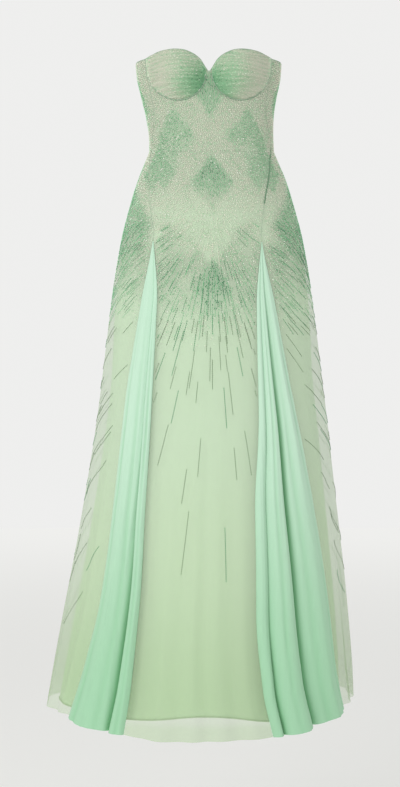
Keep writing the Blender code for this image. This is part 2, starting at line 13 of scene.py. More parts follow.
import bpy
from mathutils import Vector, noise
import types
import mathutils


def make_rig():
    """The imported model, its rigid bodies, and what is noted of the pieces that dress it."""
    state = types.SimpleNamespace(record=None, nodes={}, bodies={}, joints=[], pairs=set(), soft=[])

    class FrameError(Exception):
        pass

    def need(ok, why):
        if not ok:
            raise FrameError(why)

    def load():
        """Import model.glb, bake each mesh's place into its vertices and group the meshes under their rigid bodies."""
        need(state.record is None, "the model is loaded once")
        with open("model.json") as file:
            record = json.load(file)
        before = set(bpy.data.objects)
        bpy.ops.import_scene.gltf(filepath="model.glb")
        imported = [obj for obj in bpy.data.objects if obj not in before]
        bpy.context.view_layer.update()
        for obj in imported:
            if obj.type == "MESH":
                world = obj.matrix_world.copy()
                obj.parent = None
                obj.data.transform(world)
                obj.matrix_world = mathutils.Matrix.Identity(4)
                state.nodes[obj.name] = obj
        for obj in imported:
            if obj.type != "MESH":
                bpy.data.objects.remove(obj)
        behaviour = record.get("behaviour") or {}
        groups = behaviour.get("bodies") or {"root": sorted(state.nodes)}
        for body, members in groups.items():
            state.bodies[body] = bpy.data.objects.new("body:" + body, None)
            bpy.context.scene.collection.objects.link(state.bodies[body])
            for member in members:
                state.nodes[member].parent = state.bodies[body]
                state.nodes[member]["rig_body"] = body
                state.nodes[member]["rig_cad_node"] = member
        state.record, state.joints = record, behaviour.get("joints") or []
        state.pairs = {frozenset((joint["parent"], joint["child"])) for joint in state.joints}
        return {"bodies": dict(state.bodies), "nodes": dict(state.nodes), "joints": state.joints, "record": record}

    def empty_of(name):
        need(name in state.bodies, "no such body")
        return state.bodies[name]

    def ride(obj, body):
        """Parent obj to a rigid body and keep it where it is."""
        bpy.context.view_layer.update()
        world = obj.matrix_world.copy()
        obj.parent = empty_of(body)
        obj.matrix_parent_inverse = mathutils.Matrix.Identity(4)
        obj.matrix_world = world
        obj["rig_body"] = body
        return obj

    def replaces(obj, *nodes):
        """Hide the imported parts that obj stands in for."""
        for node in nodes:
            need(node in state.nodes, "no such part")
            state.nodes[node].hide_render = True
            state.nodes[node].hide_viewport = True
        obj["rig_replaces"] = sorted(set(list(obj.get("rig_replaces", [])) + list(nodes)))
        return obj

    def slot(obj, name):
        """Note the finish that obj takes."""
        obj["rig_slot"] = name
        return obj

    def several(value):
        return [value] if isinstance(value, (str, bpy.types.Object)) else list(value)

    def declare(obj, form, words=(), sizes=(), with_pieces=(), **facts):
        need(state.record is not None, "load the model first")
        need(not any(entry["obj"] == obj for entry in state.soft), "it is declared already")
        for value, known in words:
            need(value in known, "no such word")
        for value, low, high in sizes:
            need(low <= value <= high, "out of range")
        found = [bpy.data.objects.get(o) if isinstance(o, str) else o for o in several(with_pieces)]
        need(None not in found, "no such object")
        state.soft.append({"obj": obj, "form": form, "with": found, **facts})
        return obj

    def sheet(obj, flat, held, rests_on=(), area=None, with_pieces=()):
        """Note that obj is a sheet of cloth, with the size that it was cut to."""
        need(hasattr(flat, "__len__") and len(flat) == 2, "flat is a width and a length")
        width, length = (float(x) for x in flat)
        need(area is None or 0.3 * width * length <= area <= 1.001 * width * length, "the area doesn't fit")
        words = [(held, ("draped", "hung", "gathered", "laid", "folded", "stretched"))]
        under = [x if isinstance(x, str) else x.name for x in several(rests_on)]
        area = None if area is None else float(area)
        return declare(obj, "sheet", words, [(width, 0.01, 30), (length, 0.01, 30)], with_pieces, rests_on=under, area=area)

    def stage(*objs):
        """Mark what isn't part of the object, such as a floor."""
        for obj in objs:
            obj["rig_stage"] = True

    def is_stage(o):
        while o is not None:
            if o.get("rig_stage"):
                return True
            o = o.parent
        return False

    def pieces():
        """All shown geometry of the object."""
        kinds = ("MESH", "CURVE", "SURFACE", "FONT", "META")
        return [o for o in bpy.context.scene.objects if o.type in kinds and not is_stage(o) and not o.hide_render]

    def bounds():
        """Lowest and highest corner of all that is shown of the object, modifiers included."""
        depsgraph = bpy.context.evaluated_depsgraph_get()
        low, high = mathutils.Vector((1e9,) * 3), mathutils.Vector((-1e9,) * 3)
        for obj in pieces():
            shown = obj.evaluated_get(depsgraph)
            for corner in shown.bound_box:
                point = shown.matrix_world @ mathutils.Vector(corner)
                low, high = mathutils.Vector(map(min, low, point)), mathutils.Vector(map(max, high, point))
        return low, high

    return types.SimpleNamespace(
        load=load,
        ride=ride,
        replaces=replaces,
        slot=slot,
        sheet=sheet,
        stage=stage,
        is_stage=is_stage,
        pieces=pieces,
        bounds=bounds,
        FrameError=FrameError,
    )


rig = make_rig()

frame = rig.load()
cad_box = [list(corner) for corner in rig.bounds()]

MM = 0.001

# The photograph's camera.
CAMERA_DISTANCE = 3.5
CAMERA_HEIGHT = -0.5229
CAMERA_RIGHT = -0.0245
FRAME_HEIGHT = 1.6763  # how much the frame takes in at the gown's middle
SENSOR = 36.0

# The studio: a round pale floor below the hem, even light from all round, and two lamps.
FLOOR = -1.62
FLOOR_RADIUS = 10.0
FLOOR_NEAR = 2.5  # from here outwards the floor grows as light as the air
FLOOR_CORNERS = 96
PAPER = (0.86, 0.86, 0.845)
AIR = (1.0, 1.0, 0.99)
AIR_STRENGTH = 0.86
Lamp = namedtuple("Lamp", "name place target size power")
LAMPS = (
    Lamp("key", (-2.1, -3.4, 0.3), (0, 0, -0.55), (1.8, 2.4), 56),
    Lamp("fill", (2.6, -2.8, 0.2), (0, 0, -0.6), (2.4, 2.8), 6),
)

# Heights of the main lines.
JOIN = 0.080  # below this the heights are stretched to follow the hem
HEM_LEVEL = -1.1695  # the hem at the sides
LOWEST_HEM = -1.2045  # and at the front and back
HEM_TURN = (16.0, 64.0)  # it rises between these angles from the middle
HEM_SHIFT = 6.0
HEM_TILT = 0.0060
GODET_TOP = -0.1935
GODET_START = 0.011  # the chiffon begins this far below it
GODET_LONGER = 0.003  # the chiffon's middle hangs lower at the hem, from this high up
GODET_FOOT = 0.06
LINING_TOP = -0.010
LINING_SHORTER = 0.008  # the hem hangs a little lower beside the godets than the solid's
LINING_ARCH = 0.036
ARCH_ANGLE = 32.0
LININGS = (("lining_front", -90.0, 90.0), ("lining_back", 90.0, 270.0))
FOUNDATION_END = LINING_TOP - 0.006
SEAM_GAP = 0.3 * MM

# The cups, each an ellipse seen from the front and cut off by the neckline.
CUP_CENTRE = 0.0680
CUP_HALF_WIDTH = 0.0613
CUP_LEVEL = 0.1400
CUP_BELOW = 0.0525
CUP_ABOVE = 0.0780
CUP_PROJECTION = 0.0460
CUP_SPREAD = 0.10
CUP_SIDE = 59.0
CUP_PLEAT = 1.1 * MM
BUST_HALF_WIDTH = 0.1544
CUP_INNER = degrees(asin((CUP_CENTRE - CUP_HALF_WIDTH) / BUST_HALF_WIDTH))
CUP_THICKNESS = 2.4 * MM
PLEATS_PER_METRE = 125
PLEAT_BOW = 3
PLEAT_FADE = 4  # pleats are full at a quarter of the way across
SIDES = ((-1, "left"), (1, "right"))
BACK_SEAM = 128.0
ZIP_SEAM = 180.0

# Cross-sections of the outer cloth: height, centre, half width, and depth before and behind.
SECTIONS = (
    (0.190, -0.0064, 0.1550, 0.092, 0.087),
    (0.150, -0.0060, 0.1520, 0.099, 0.090),
    (0.105, -0.0055, 0.1425, 0.100, 0.090),
    (0.060, -0.0032, 0.1342, 0.097, 0.087),
    (0.018, -0.0006, 0.1312, 0.093, 0.085),
    (-0.006, 0.0000, 0.1315, 0.092, 0.086),
    (-0.026, 0.0000, 0.1385, 0.096, 0.091),
    (-0.068, 0.0005, 0.1555, 0.106, 0.103),
    (-0.111, 0.0005, 0.1693, 0.115, 0.115),
    (-0.196, 0.0008, 0.1917, 0.130, 0.134),
    (-0.324, 0.0010, 0.2130, 0.152, 0.156),
    (-0.537, 0.0010, 0.2396, 0.185, 0.191),
    (-0.792, -0.0050, 0.2730, 0.225, 0.233),
    (-1.048, -0.0180, 0.3090, 0.268, 0.275),
    (-1.176, -0.0265, 0.3240, 0.290, 0.297),
)

# The front princess seams, which part below the godets' tops: height, and the angles of the left
# side gore's edge, the front gore's left and right edges, and the right side gore's edge.
SEAMS = (
    (0.190, CUP_SIDE, CUP_SIDE, CUP_SIDE, CUP_SIDE),
    (0.080, CUP_SIDE, CUP_SIDE, CUP_SIDE, CUP_SIDE),
    (0.030, 68.0, 68.0, 67.0, 67.0),
    (-0.004, 74.0, 74.0, 72.0, 72.0),
    (-0.030, 67.5, 67.5, 61.0, 61.0),
    (-0.068, 58.0, 58.0, 50.0, 50.0),
    (-0.111, 50.5, 50.5, 41.0, 41.0),
    (-0.150, 44.5, 44.5, 35.8, 35.8),
    (GODET_TOP, 39.6, 39.6, 32.2, 32.2),
    (-0.330, 43.5, 32.0, 25.0, 37.0),
    (-0.560, 48.5, 30.9, 22.6, 45.2),
    (-0.740, 47.6, 29.6, 19.6, 52.0),
    (-0.930, 46.8, 27.3, 19.6, 57.0),
    (-1.080, 50.2, 26.8, 22.5, 59.5),
    (HEM_LEVEL, 54.2, 27.5, 26.8, 64.6),
)

# The top edge: angle and height.
NECKLINE = (
    (0.0, 0.1415), (2.4, 0.1500), (4.0, 0.1570), (6.5, 0.1678), (12.0, 0.1787),
    (20.0, 0.1858), (28.0, 0.1873), (38.0, 0.1872), (50.0, 0.1850), (62.0, 0.1787),
    (90.0, 0.1780), (120.0, 0.1680), (150.0, 0.1560), (180.0, 0.1520),
)

# How far the lining lies inside the tulle: height, at the sides, and at the front and back.
INSETS = (
    (0.010, 2.6 * MM, 2.6 * MM),
    (-0.060, 2.9 * MM, 2.9 * MM),
    (-0.200, 4.5 * MM, 5.0 * MM),
    (-0.330, 9.0 * MM, 8.0 * MM),
    (-0.520, 21.0 * MM, 11.0 * MM),
    (-0.900, 24.0 * MM, 15.0 * MM),
    (-1.170, 26.0 * MM, 19.0 * MM),
)

# Soft folds: place across the piece, width as a share of it, depth at the hem, and start.
FOLDS = {
    "front": (
        (0.13, 0.060, -0.0045, -0.50), (0.24, 0.055, 0.0050, -0.42),
        (0.37, 0.050, -0.0035, -0.70), (0.47, 0.045, 0.0050, -0.35),
        (0.56, 0.040, -0.0045, -0.40), (0.66, 0.055, 0.0040, -0.62),
        (0.77, 0.050, -0.0035, -0.55), (0.88, 0.055, 0.0045, -0.50),
    ),
    "side_left": (
        (0.14, 0.060, 0.0060, -0.36), (0.27, 0.055, -0.0050, -0.45),
        (0.41, 0.070, 0.0040, -0.30), (0.56, 0.070, -0.0035, -0.50),
        (0.70, 0.060, 0.0050, -0.35), (0.82, 0.055, -0.0060, -0.42),
        (0.91, 0.050, 0.0060, -0.55),
    ),
    "side_right": (
        (0.12, 0.055, 0.0060, -0.40), (0.24, 0.055, -0.0060, -0.32),
        (0.36, 0.065, 0.0045, -0.38), (0.50, 0.070, -0.0035, -0.55),
        (0.65, 0.065, 0.0050, -0.33), (0.78, 0.055, -0.0060, -0.48),
        (0.90, 0.050, 0.0065, -0.40),
    ),
    "back": (
        (0.17, 0.080, 0.0080, -0.38), (0.36, 0.080, -0.0080, -0.46),
        (0.56, 0.080, 0.0090, -0.34), (0.76, 0.080, -0.0080, -0.52),
        (0.91, 0.070, 0.0060, -0.60),
    ),
    "lining_front": (
        (0.23, 0.050, 0.0060, -0.62), (0.36, 0.070, -0.0040, -0.70),
        (0.50, 0.090, 0.0030, -0.80), (0.64, 0.070, -0.0040, -0.70),
        (0.77, 0.050, 0.0060, -0.62),
    ),
    "lining_back": (
        (0.20, 0.080, 0.0060, -0.60), (0.40, 0.080, -0.0050, -0.70),
        (0.60, 0.080, 0.0060, -0.60), (0.80, 0.080, -0.0050, -0.70),
    ),
}
FOLD_EDGE = 0.12

# The godets' lobes, from the front gore to the side gore; opens is how far down a shadow shows
# in the gap at a lobe's end.
Lobe = namedtuple("Lobe", "end_top end_hem height opens")
GODET_LOBES = {
    "left": (Lobe(0.24, 0.24, 0.0150, 0.50), Lobe(1.0, 1.0, 0.0260, 1.0)),
    "right": (
        Lobe(0.20, 0.125, 0.0110, 0.66), Lobe(0.46, 0.47, 0.0240, 0.05), Lobe(1.0, 1.0, 0.0250, 1.0),
    ),
}
# Soft creases along the chiffon: place across the godet at its top and hem, width, depth.
CREASES = {
    "left": ((0.10, 0.09, 0.030, -0.0040), (0.42, 0.40, 0.045, -0.0035),
             (0.62, 0.57, 0.030, 0.0030), (0.80, 0.76, 0.040, -0.0045)),
    "right": ((0.30, 0.27, 0.025, -0.0040), (0.38, 0.36, 0.020, 0.0025),
              (0.60, 0.62, 0.035, -0.0040), (0.74, 0.73, 0.030, 0.0030),
              (0.86, 0.88, 0.035, -0.0040)),
}
VALLEY_WIDTH = 4.0 * MM  # the dark gap where two lobes meet, half across, and its depth
VALLEY_DEPTH = 5.0 * MM
VALLEY_OPENING = 0.45  # from no shadow to the full one, as a share of the godet's length
VALLEY_SHADE = 0.95  # how far painted shade turns the chiffon there to its crease colour
CREASE_SHADE = 0.35
LOBE_ROUNDNESS = 0.72
LOBE_GROWTH = 0.85
LOBES_FULL = 0.87
DEEPEST_CREASE = 4.0 * MM
CREASE_MEAN, CREASE_SWING = 0.7, 0.6
CREASE_GROWTH = 2.5  # the creases are full at 1 / 2.5 of the way down
CRUMPLE = 1.4 * MM  # uneven waves in the chiffon, which are full a little lower
CRUMPLE_GROWTH = 2.2

# Fineness of the shells.
ROW_STEP = 0.0080
COLUMN_STEP = 0.0075
COLUMNS_FOR_HEM = 1.35  # the hem is wider than the middle, so it takes more columns
YOKE_ROWS = 16
LOBE_COLUMNS = 30
LINING_COLUMNS = 110
CUP_COLUMNS, CUP_ROWS = 48, 52
TINY = 1e-9

# Uneven waves of soft cloth. A grain says how fast they change across and down, and which noise.
Grain = namedtuple("Grain", "across down noise")
RIPPLE = 1.4 * MM
RIPPLE_START = -0.15
RIPPLE_GROWTH = 0.9
BROAD_RIPPLE = Grain(0.16, 1.6, 3.1)
FINE_RIPPLE = Grain(0.42, 2.4, 9.7)
FINE_SHARE = 0.6
CRUMPLE_GRAIN = Grain(0.9, 1.1, 5.0)
CREASE_GRAIN = Grain(20, 3.0, 2.0)
DRAPE_GRAINS = {side: Grain(2.0, 60, side) for side, _ in SIDES}

# Beadwork. The ornament is a lattice of plain lozenges with rays below it. A tone of 0 is
# silver-beige and 1 is deep green. A lozenge has a distance from the centre, a height, half its
# width and height, and its tones at the bottom and the top.
LOZENGES = (
    (0.000, 0.098, 0.026, 0.050, 0.46, 1.00),
    (0.071, 0.010, 0.045, 0.062, 0.34, 0.56),
    (0.190, 0.085, 0.044, 0.068, 0.42, 0.50),
    (0.205, -0.045, 0.044, 0.050, 0.34, 0.48),
    (0.108, -0.064, 0.044, 0.066, 0.42, 0.60),
    (0.104, -0.145, 0.034, 0.066, 0.04, 0.08),
    (0.000, -0.140, 0.100, 0.078, 0.00, 0.12),
    (0.000, -0.190, 0.036, 0.078, 0.00, 0.04),
    (0.000, -0.088, 0.038, 0.058, 0.26, 1.00),
    (0.200, -0.175, 0.084, 0.108, 0.50, 0.58),
    (0.000, -0.308, 0.034, 0.062, 0.98, 0.90),
)
LOZENGE_EDGE = 0.38  # how gradually a lozenge's tone gives way to the ground's
# Height and tone of the ground between them.
GROUND = (
    (0.20, 0.12), (-0.10, 0.10), (-0.19, 0.18), (-0.26, 0.31),
    (-0.34, 0.33), (-0.42, 0.16),
)
TONE_NOISE = 0.14
TONE_GRAINS = (Grain(34, 30, 8.3), Grain(34, 30, 1.7))  # on the left and on the right
# The cups: beige, and greener inward of this distance and below this height.
CUP_TONE, CUP_GREEN = 0.10, 0.76
CUP_GREEN_ACROSS = 0.072
CUP_GREEN_TOP = 0.168
CUP_GREEN_FADE = 0.06
CUP_TOP_SHARE, CUP_LOW_SHARE = 0.35, 0.65
PLEAT_LIGHT_AND_SHADE = 0.28  # painted light and shade: beads on a pleat's ridge take paler glass than those in its hollow
EDGE_THINNER = 0.45  # share of the beads left out at the sides, where they are seen edge-on
SUN_HEIGHT = -0.150  # the rays on the front and back leave this height
SUN_NEAREST = 0.05
MOST_SLANT = 1.0
SIDE_REACH = 0.155  # beyond this from the centre the rays follow SIDE_SLANTS
SIDE_START = 0.8 * SIDE_REACH  # they turn to them from here on, over this width
SIDE_BLEND = 0.4 * SIDE_REACH
SIDE_LINE = 12.0  # the rays turn straight down this close to the middle of the side
SIDE_GAP = 4.0  # and end this close to it
# Height and slant in degrees of the rays at the sides.
SIDE_SLANTS = (
    (-0.20, 40.0), (-0.32, 54.0), (-0.45, 56.0), (-0.65, 50.0),
    (-0.85, 37.0), (-1.10, 26.0),
)
# Rows of rays: how far to the next row, between two rays, and their length.
Rays = namedtuple("Rays", "z row_step spacing length")
RAYS = (
    Rays(-0.165, 0.015, 0.0065, 0.022), Rays(-0.345, 0.022, 0.0090, 0.040),
    Rays(-0.400, 0.036, 0.0220, 0.050), Rays(-0.480, 0.056, 0.0380, 0.062),
    Rays(-0.640, 0.085, 0.0720, 0.085), Rays(-0.980, 0.110, 0.1300, 0.090),
)
SIDE_ROWS = 0.62  # the rows lie this much closer at the sides
BEAD_PITCH = 3.7 * MM
BEAD_LENGTH = 4.2 * MM
BEAD_RADIUS = 1.0 * MM
DASH_RADIUS = 0.75 * MM
FAR_RADIUS = 0.95 * MM  # of the sparse dashes below the hips
BEAD_LIFT = 0.5 * MM  # how far the beads' middles stand off the cloth
DASH_LIFT = 0.7 * MM
DASH_OVERLAP = 1.1
CUP_BEAD_LIFT = 0.3 * MM
CUP_BEAD_RADIUS = 0.8 * MM
CUP_BEAD_ROWS, CUP_BEADS = 30, 42
CUP_BEAD_AHEAD = 0.02
BEAD_ROW_STEP = 1.05 * BEAD_PITCH
BEAD_JITTER, BEAD_ROW_JITTER = 0.30, 0.35
RAY_JITTER, RAY_ROW_JITTER = 0.25, 0.40
RAY_LENGTHS = (0.6, 1.4)
TURN_JITTER = 0.25
TONE_JITTER = 0.26
BEAD_MARGIN = 0.010  # shares of a panel that its beads and rays keep from its edges
RAY_MARGIN = 0.02
TOP_MARGIN = 1.5 * MM
RAY_CHANCE, RAY_GAIN = 0.15, 2.4  # a close ray's chance on ground of this tone, and its growth
RAY_TONE = 0.1
FAR_THINNER = 1.9  # the sparse dashes thin out faster at the sides, above this level
FAR_THIN_END = -0.52
FAR_THIN_FADE = 0.08
PALE_TONE = 0.18  # rays on ground paler than this are pale too
BEADS_END = -0.46  # the close beads have thinned out at this height
BEADS_THIN = -0.16  # and start to thin out at this one
SIDE_SOONER = 0.06  # both ends are this much higher at the sides
BODICE_FADE = (-0.41, -0.25)  # the backing turns from the bodice's colours to the lining's
PALE_BELOW = -0.05  # below this the backing of pale beads turns nearly as light as the lining
PALE_FULL = -0.20
PALE_SHARE = 0.88
PALE_TONES = (0.35, 0.30)  # paleness starts at this tone and is full this much below it
PALE_THINNER = 0.55  # share of the beads left out on the palest ground
SEED = 7

MATERIALS = {}


def limited_slopes(xs, ys):
    """Slopes of a cubic through the points that never overshoots them."""
    steps = [(ys[i + 1] - ys[i]) / (xs[i + 1] - xs[i]) for i in range(len(xs) - 1)]
    slopes = [steps[0]]
    for before, after in zip(steps, steps[1:]):
        slopes.append(0.0 if before * after <= 0 else 2 * before * after / (before + after))
    slopes.append(steps[-1])
    return slopes


def smooth_columns(table):
    """A function of the table's first column that gives its other columns, smoothly joined."""
    rows = sorted(table)
    xs = [row[0] for row in rows]
    columns = list(zip(*rows))[1:]
    slopes = [limited_slopes(xs, column) for column in columns]

    def at(x):
        x = min(max(x, xs[0]), xs[-1])
        i = max(k for k in range(len(xs) - 1) if xs[k] <= x)
        width = xs[i + 1] - xs[i]
        t = (x - xs[i]) / width
        found = []
        for column, slope in zip(columns, slopes):
            start = column[i] * (1 + 2 * t) * (1 - t) ** 2 + slope[i] * width * t * (1 - t) ** 2
            end = column[i + 1] * t * t * (3 - 2 * t) + slope[i + 1] * width * t * t * (t - 1)
            found.append(start + end)
        return found

    return at


section_at = smooth_columns(SECTIONS)
seams_at = smooth_columns(SEAMS)
neckline_at = smooth_columns(NECKLINE)
inset_at = smooth_columns(INSETS)
ground_at = smooth_columns(GROUND)
side_slant_at = smooth_columns(SIDE_SLANTS)
rays_at = smooth_columns(RAYS)


def smoothstep(t):
    t = min(max(t, 0.0), 1.0)
    return t * t * (3 - 2 * t)


def neckline(angle):
    return neckline_at(abs(angle))[0]


def hem_height(angle):
    turned = abs((angle - HEM_SHIFT + 180) % 360 - 180)
    from_middle = min(turned, 180 - turned)
    drop = smoothstep((HEM_TURN[1] - from_middle) / (HEM_TURN[1] - HEM_TURN[0]))
    return HEM_LEVEL + (LOWEST_HEM - HEM_LEVEL) * drop + HEM_TILT * sin(radians(angle))


def height_of(angle, level):
    if level >= JOIN:
        return level
    return JOIN - (JOIN - level) * (JOIN - hem_height(angle)) / (JOIN - HEM_LEVEL)


def level_of(angle, height):
    """The level of a height: the other way round from height_of."""
    if height >= JOIN:
        return height
    return JOIN - (JOIN - height) * (JOIN - HEM_LEVEL) / (JOIN - hem_height(angle))


def ring_point(angle, level, inset=(0.0, 0.0)):
    """A point on the cross-section of that level, and the direction straight out of it."""
    centre, half_width, front, back = section_at(level)
    turned = radians(angle)
    side, ahead = sin(turned), cos(turned)
    half_width = half_width - inset[0]
    depth = (front if ahead > 0 else back) - inset[1]
    point = Vector((centre + half_width * side, -depth * ahead, level))
    out = Vector((side / half_width, -ahead / depth, 0.0)).normalized()
    return point, out


def cup_closeness(angle, level):
    """1 at a cup's middle, 0 on its underwire and outside it."""
    if abs(angle) > 90:
        return 0.0
    across = (BUST_HALF_WIDTH * abs(sin(radians(angle))) - CUP_CENTRE) / CUP_HALF_WIDTH
    reach = CUP_BELOW if level < CUP_LEVEL else CUP_ABOVE
    return max(0.0, 1 - across ** 2 - ((level - CUP_LEVEL) / reach) ** 2)


def cloth_point(angle, level, lift=0.0, inset=(0.0, 0.0)):
    """A point of the outer cloth, moved out by lift."""
    point, out = ring_point(angle, level, inset)
    point.z = height_of(angle, level)
    dome = Vector((copysign(CUP_SPREAD, angle), -1.0, 0.0)) * CUP_PROJECTION
    return point + out * lift + dome * cup_closeness(angle, level)


def underwire(angle, margin=0.0):
    across = BUST_HALF_WIDTH * abs(sin(radians(angle))) - CUP_CENTRE
    across /= CUP_HALF_WIDTH + margin
    return CUP_LEVEL - (CUP_BELOW + margin) * sqrt(max(0.0, 1 - across ** 2))


def half_gap_angle(level):
    _, half_width, front, back = section_at(level)
    return degrees(0.5 * SEAM_GAP / min(half_width, front, back))


def mean_radius(level):
    """What turns an angle in radians into a distance round the cloth."""
    _, half_width, front, _ = section_at(level)
    return 0.5 * (half_width + front)


def fold_lift(piece, share, level):
    """How far the soft folds move the cloth out, at a share of the way across the piece."""
    fade = smoothstep(share / FOLD_EDGE) * smoothstep((1 - share) / FOLD_EDGE)
    lift = 0.0
    for place, width, depth, start in FOLDS[piece]:
        growth = smoothstep((start - level) / (start - HEM_LEVEL))
        lift += depth * growth * exp(-(((share - place) / width) ** 2))
    return lift * fade


def uneven(grain, across, height):
    """Smooth noise around 0, drawn out as the grain says."""
    return noise.noise(Vector((across * grain.across, height * grain.down, grain.noise)))


def ripple(angle, level):
    """Uneven waves that run down soft cloth and grow towards the hem."""
    growth = smoothstep((RIPPLE_START - level) / RIPPLE_GROWTH)
    wave = uneven(BROAD_RIPPLE, angle, level) + FINE_SHARE * uneven(FINE_RIPPLE, angle, level)
    return RIPPLE * growth * wave


# Panels of the outer cloth: each gives its edges at a level, the height of its top edge, the
# angles and the level that its beads start at, the level its rays end at, and how close its
# lower rows of rays lie.
Panel = namedtuple("Panel", "name folds edges top angles bead_top rays_end rows")


def front_edges(level):
    _, left_front, right_front, _ = seams_at(level)
    return -left_front, right_front


def front_top(angle):
    return neckline(angle) if abs(angle) < CUP_INNER else underwire(angle, SEAM_GAP)


def other_panel(name, folds, edges, angles):
    return Panel(name, folds, edges, neckline, angles, bead_top=0.18, rays_end=-0.96, rows=SIDE_ROWS)


PANELS = (
    Panel("front_gore", "front", front_edges, front_top, (-76.0, 76.0), 0.14, -0.80, 1.0),
    other_panel("side_gore_right", "side_right",
                lambda level: (seams_at(level)[3], BACK_SEAM), (20.0, BACK_SEAM)),
    other_panel("side_gore_left", "side_left",
                lambda level: (-BACK_SEAM, -seams_at(level)[0]), (-BACK_SEAM, -20.0)),
    other_panel("back_gore_right", "back",
                lambda level: (BACK_SEAM, ZIP_SEAM), (BACK_SEAM, ZIP_SEAM)),
    other_panel("back_gore_left", "back",
                lambda level: (-ZIP_SEAM, -BACK_SEAM), (-ZIP_SEAM, -BACK_SEAM)),
)


def panel_place(panel, share, rise, level):
    """Angle and level at a share across the panel; rise counts the rows above JOIN."""
    here = level
    for _ in range(4):
        start, end = panel.edges(here)
        gap = half_gap_angle(here)
        angle = start + gap + (end - start - 2 * gap) * share
        here = level + (panel.top(angle) - JOIN) * rise if rise else level
    return angle, here


def panel_point(panel, share, rise, level, lift=0.0):
    angle, here = panel_place(panel, share, rise, level)
    folds = fold_lift(panel.folds, share, here) + ripple(angle, here)
    return cloth_point(angle, here, lift + folds)


def share_of(panel, angle, level):
    start, end = panel.edges(level)
    return (angle - start) / (end - start)


# Materials.

# Where a colour mix has its factor, its two colours and its result among its sockets.
MIX_FACTOR, MIX_COLOURS, MIX_RESULT = 0, (6, 7), 2


def principled(name):
    made = bpy.data.materials.new(name)
    made.use_nodes = True
    MATERIALS[name] = made
    return made.node_tree, made.node_tree.nodes["Principled BSDF"]


def link(tree, source, target):
    tree.links.new(source, target)


def add_node(tree, kind, **values):
    node = tree.nodes.new(kind)
    for key, value in values.items():
        setattr(node, key, value)
    return node


def set_inputs(node, **values):
    """Plain values on a node's own sockets; an underscore stands for a space in the name."""
    for name, value in values.items():
        node.inputs[name.replace("_", " ")].default_value = value


def mixed(tree, factor, *colours):
    """A mix of two colours, each of them a socket or three numbers."""
    mix = add_node(tree, "ShaderNodeMix", data_type="RGBA")
    link(tree, factor, mix.inputs[MIX_FACTOR])
    for place, colour in zip(MIX_COLOURS, colours):
        if isinstance(colour, tuple):
            mix.inputs[place].default_value = (*colour, 1.0)
        else:
            link(tree, colour, mix.inputs[place])
    return mix.outputs[MIX_RESULT]


def weave_height(tree, grain, stretch=(1.0, 1.0, 1.0)):
    """Noise as fine as threads, in the cloth's own coordinates."""
    where = add_node(tree, "ShaderNodeTexCoord")
    mapping = add_node(tree, "ShaderNodeMapping")
    set_inputs(mapping, Scale=stretch)
    link(tree, where.outputs["Object"], mapping.inputs["Vector"])
    threads = add_node(tree, "ShaderNodeTexNoise")
    set_inputs(threads, Scale=grain, Detail=3.0)
    link(tree, mapping.outputs["Vector"], threads.inputs["Vector"])
    return threads.outputs["Fac"]


def bump(tree, shader, height, strength, distance=0.4 * MM):
    made = add_node(tree, "ShaderNodeBump")
    set_inputs(made, Strength=strength, Distance=distance)
    link(tree, height, made.inputs["Height"])
    link(tree, made.outputs["Normal"], shader.inputs["Normal"])


def smooth_share(tree, value, low, high):
    """0 where a socket's value is below one number and 1 where it is above another."""
    share = add_node(tree, "ShaderNodeMapRange", interpolation_type="SMOOTHSTEP")
    link(tree, value, share.inputs["Value"])
    set_inputs(share, From_Min=low, From_Max=high)
    return share.outputs["Result"]


def height_share(tree, low, high):
    """0 below one height and 1 above another."""
    where = add_node(tree, "ShaderNodeTexCoord")
    parts = add_node(tree, "ShaderNodeSeparateXYZ")
    link(tree, where.outputs["Object"], parts.inputs[0])
    return smooth_share(tree, parts.outputs["Z"], low, high)


def painted(tree, name):
    """A value that the mesh's points carry."""
    return add_node(tree, "ShaderNodeAttribute", attribute_name=name).outputs["Fac"]


# A cloth's colours at its top and its foot, the heights between which they change, and how
# light the gaps between its threads are, as a share of its colour. The tulle's and the chiffon's
# foot colours are darker than their tops: painted shade, for light that falls off towards the hem.
Cloth = namedtuple("Cloth", "top foot heights gaps roughness grain stretch sheen alpha bumpiness")
CLOTHS = {
    "tulle": Cloth((0.60, 0.70, 0.54), (0.46, 0.59, 0.38), (-1.15, -0.8), 0.90, 0.85, 1400.0,
                   (1, 1, 1), 0.05, 0.46, 0.3),
    "chiffon": Cloth((0.50, 0.715, 0.555), (0.335, 0.595, 0.385), (-1.14, -0.52), 0.93, 0.85, 220.0,
                     (1, 1, 0.04), 0.15, 1.0, 0.35),
    "binding": Cloth((0.33, 0.44, 0.32), (0.33, 0.44, 0.32), (-1.1, 0.1), 0.80, 0.6, 900.0,
                     (1, 1, 1), 0.10, 1.0, 0.3),
    # the lining's rolled hem, darker than the lining: partly the hem, partly painted shadow under it
    "rolled_hem": Cloth((0.40, 0.54, 0.32), (0.40, 0.54, 0.32), (-1.2, -1.1), 0.85, 0.8, 900.0,
                        (1, 1, 1), 0.0, 1.0, 0.3),
    "seam_shadow": Cloth((0.14, 0.27, 0.16), (0.14, 0.27, 0.16), (-1.1, 0.1), 0.80, 0.8, 900.0,
                         (1, 1, 1), 0.0, 1.0, 0.3),
}
# The lining's top and foot colours: the darker foot is painted shade, for light that falls off downward.
LINING_LIT_TOP_COLOUR = (0.655, 0.825, 0.61)
LINING_SHADED_FOOT_COLOUR = (0.60, 0.785, 0.515)
BEIGE_BACKING = (0.50, 0.52, 0.41)
GREEN_BACKING = (0.13, 0.36, 0.17)
# painted shade in the chiffon's creases and in the gaps between its lobes
CREASE_SHADOW_COLOUR = (0.19, 0.48, 0.24)
# painted shade below the lining's hem: the front tulle's alpha there, and the heights it fades over
FRONT_HEM_SHADE_ALPHA = 0.66
FRONT_HEM_HEIGHTS = (-1.185, -1.165)
LINING_HEIGHTS = (-0.86, -0.58)


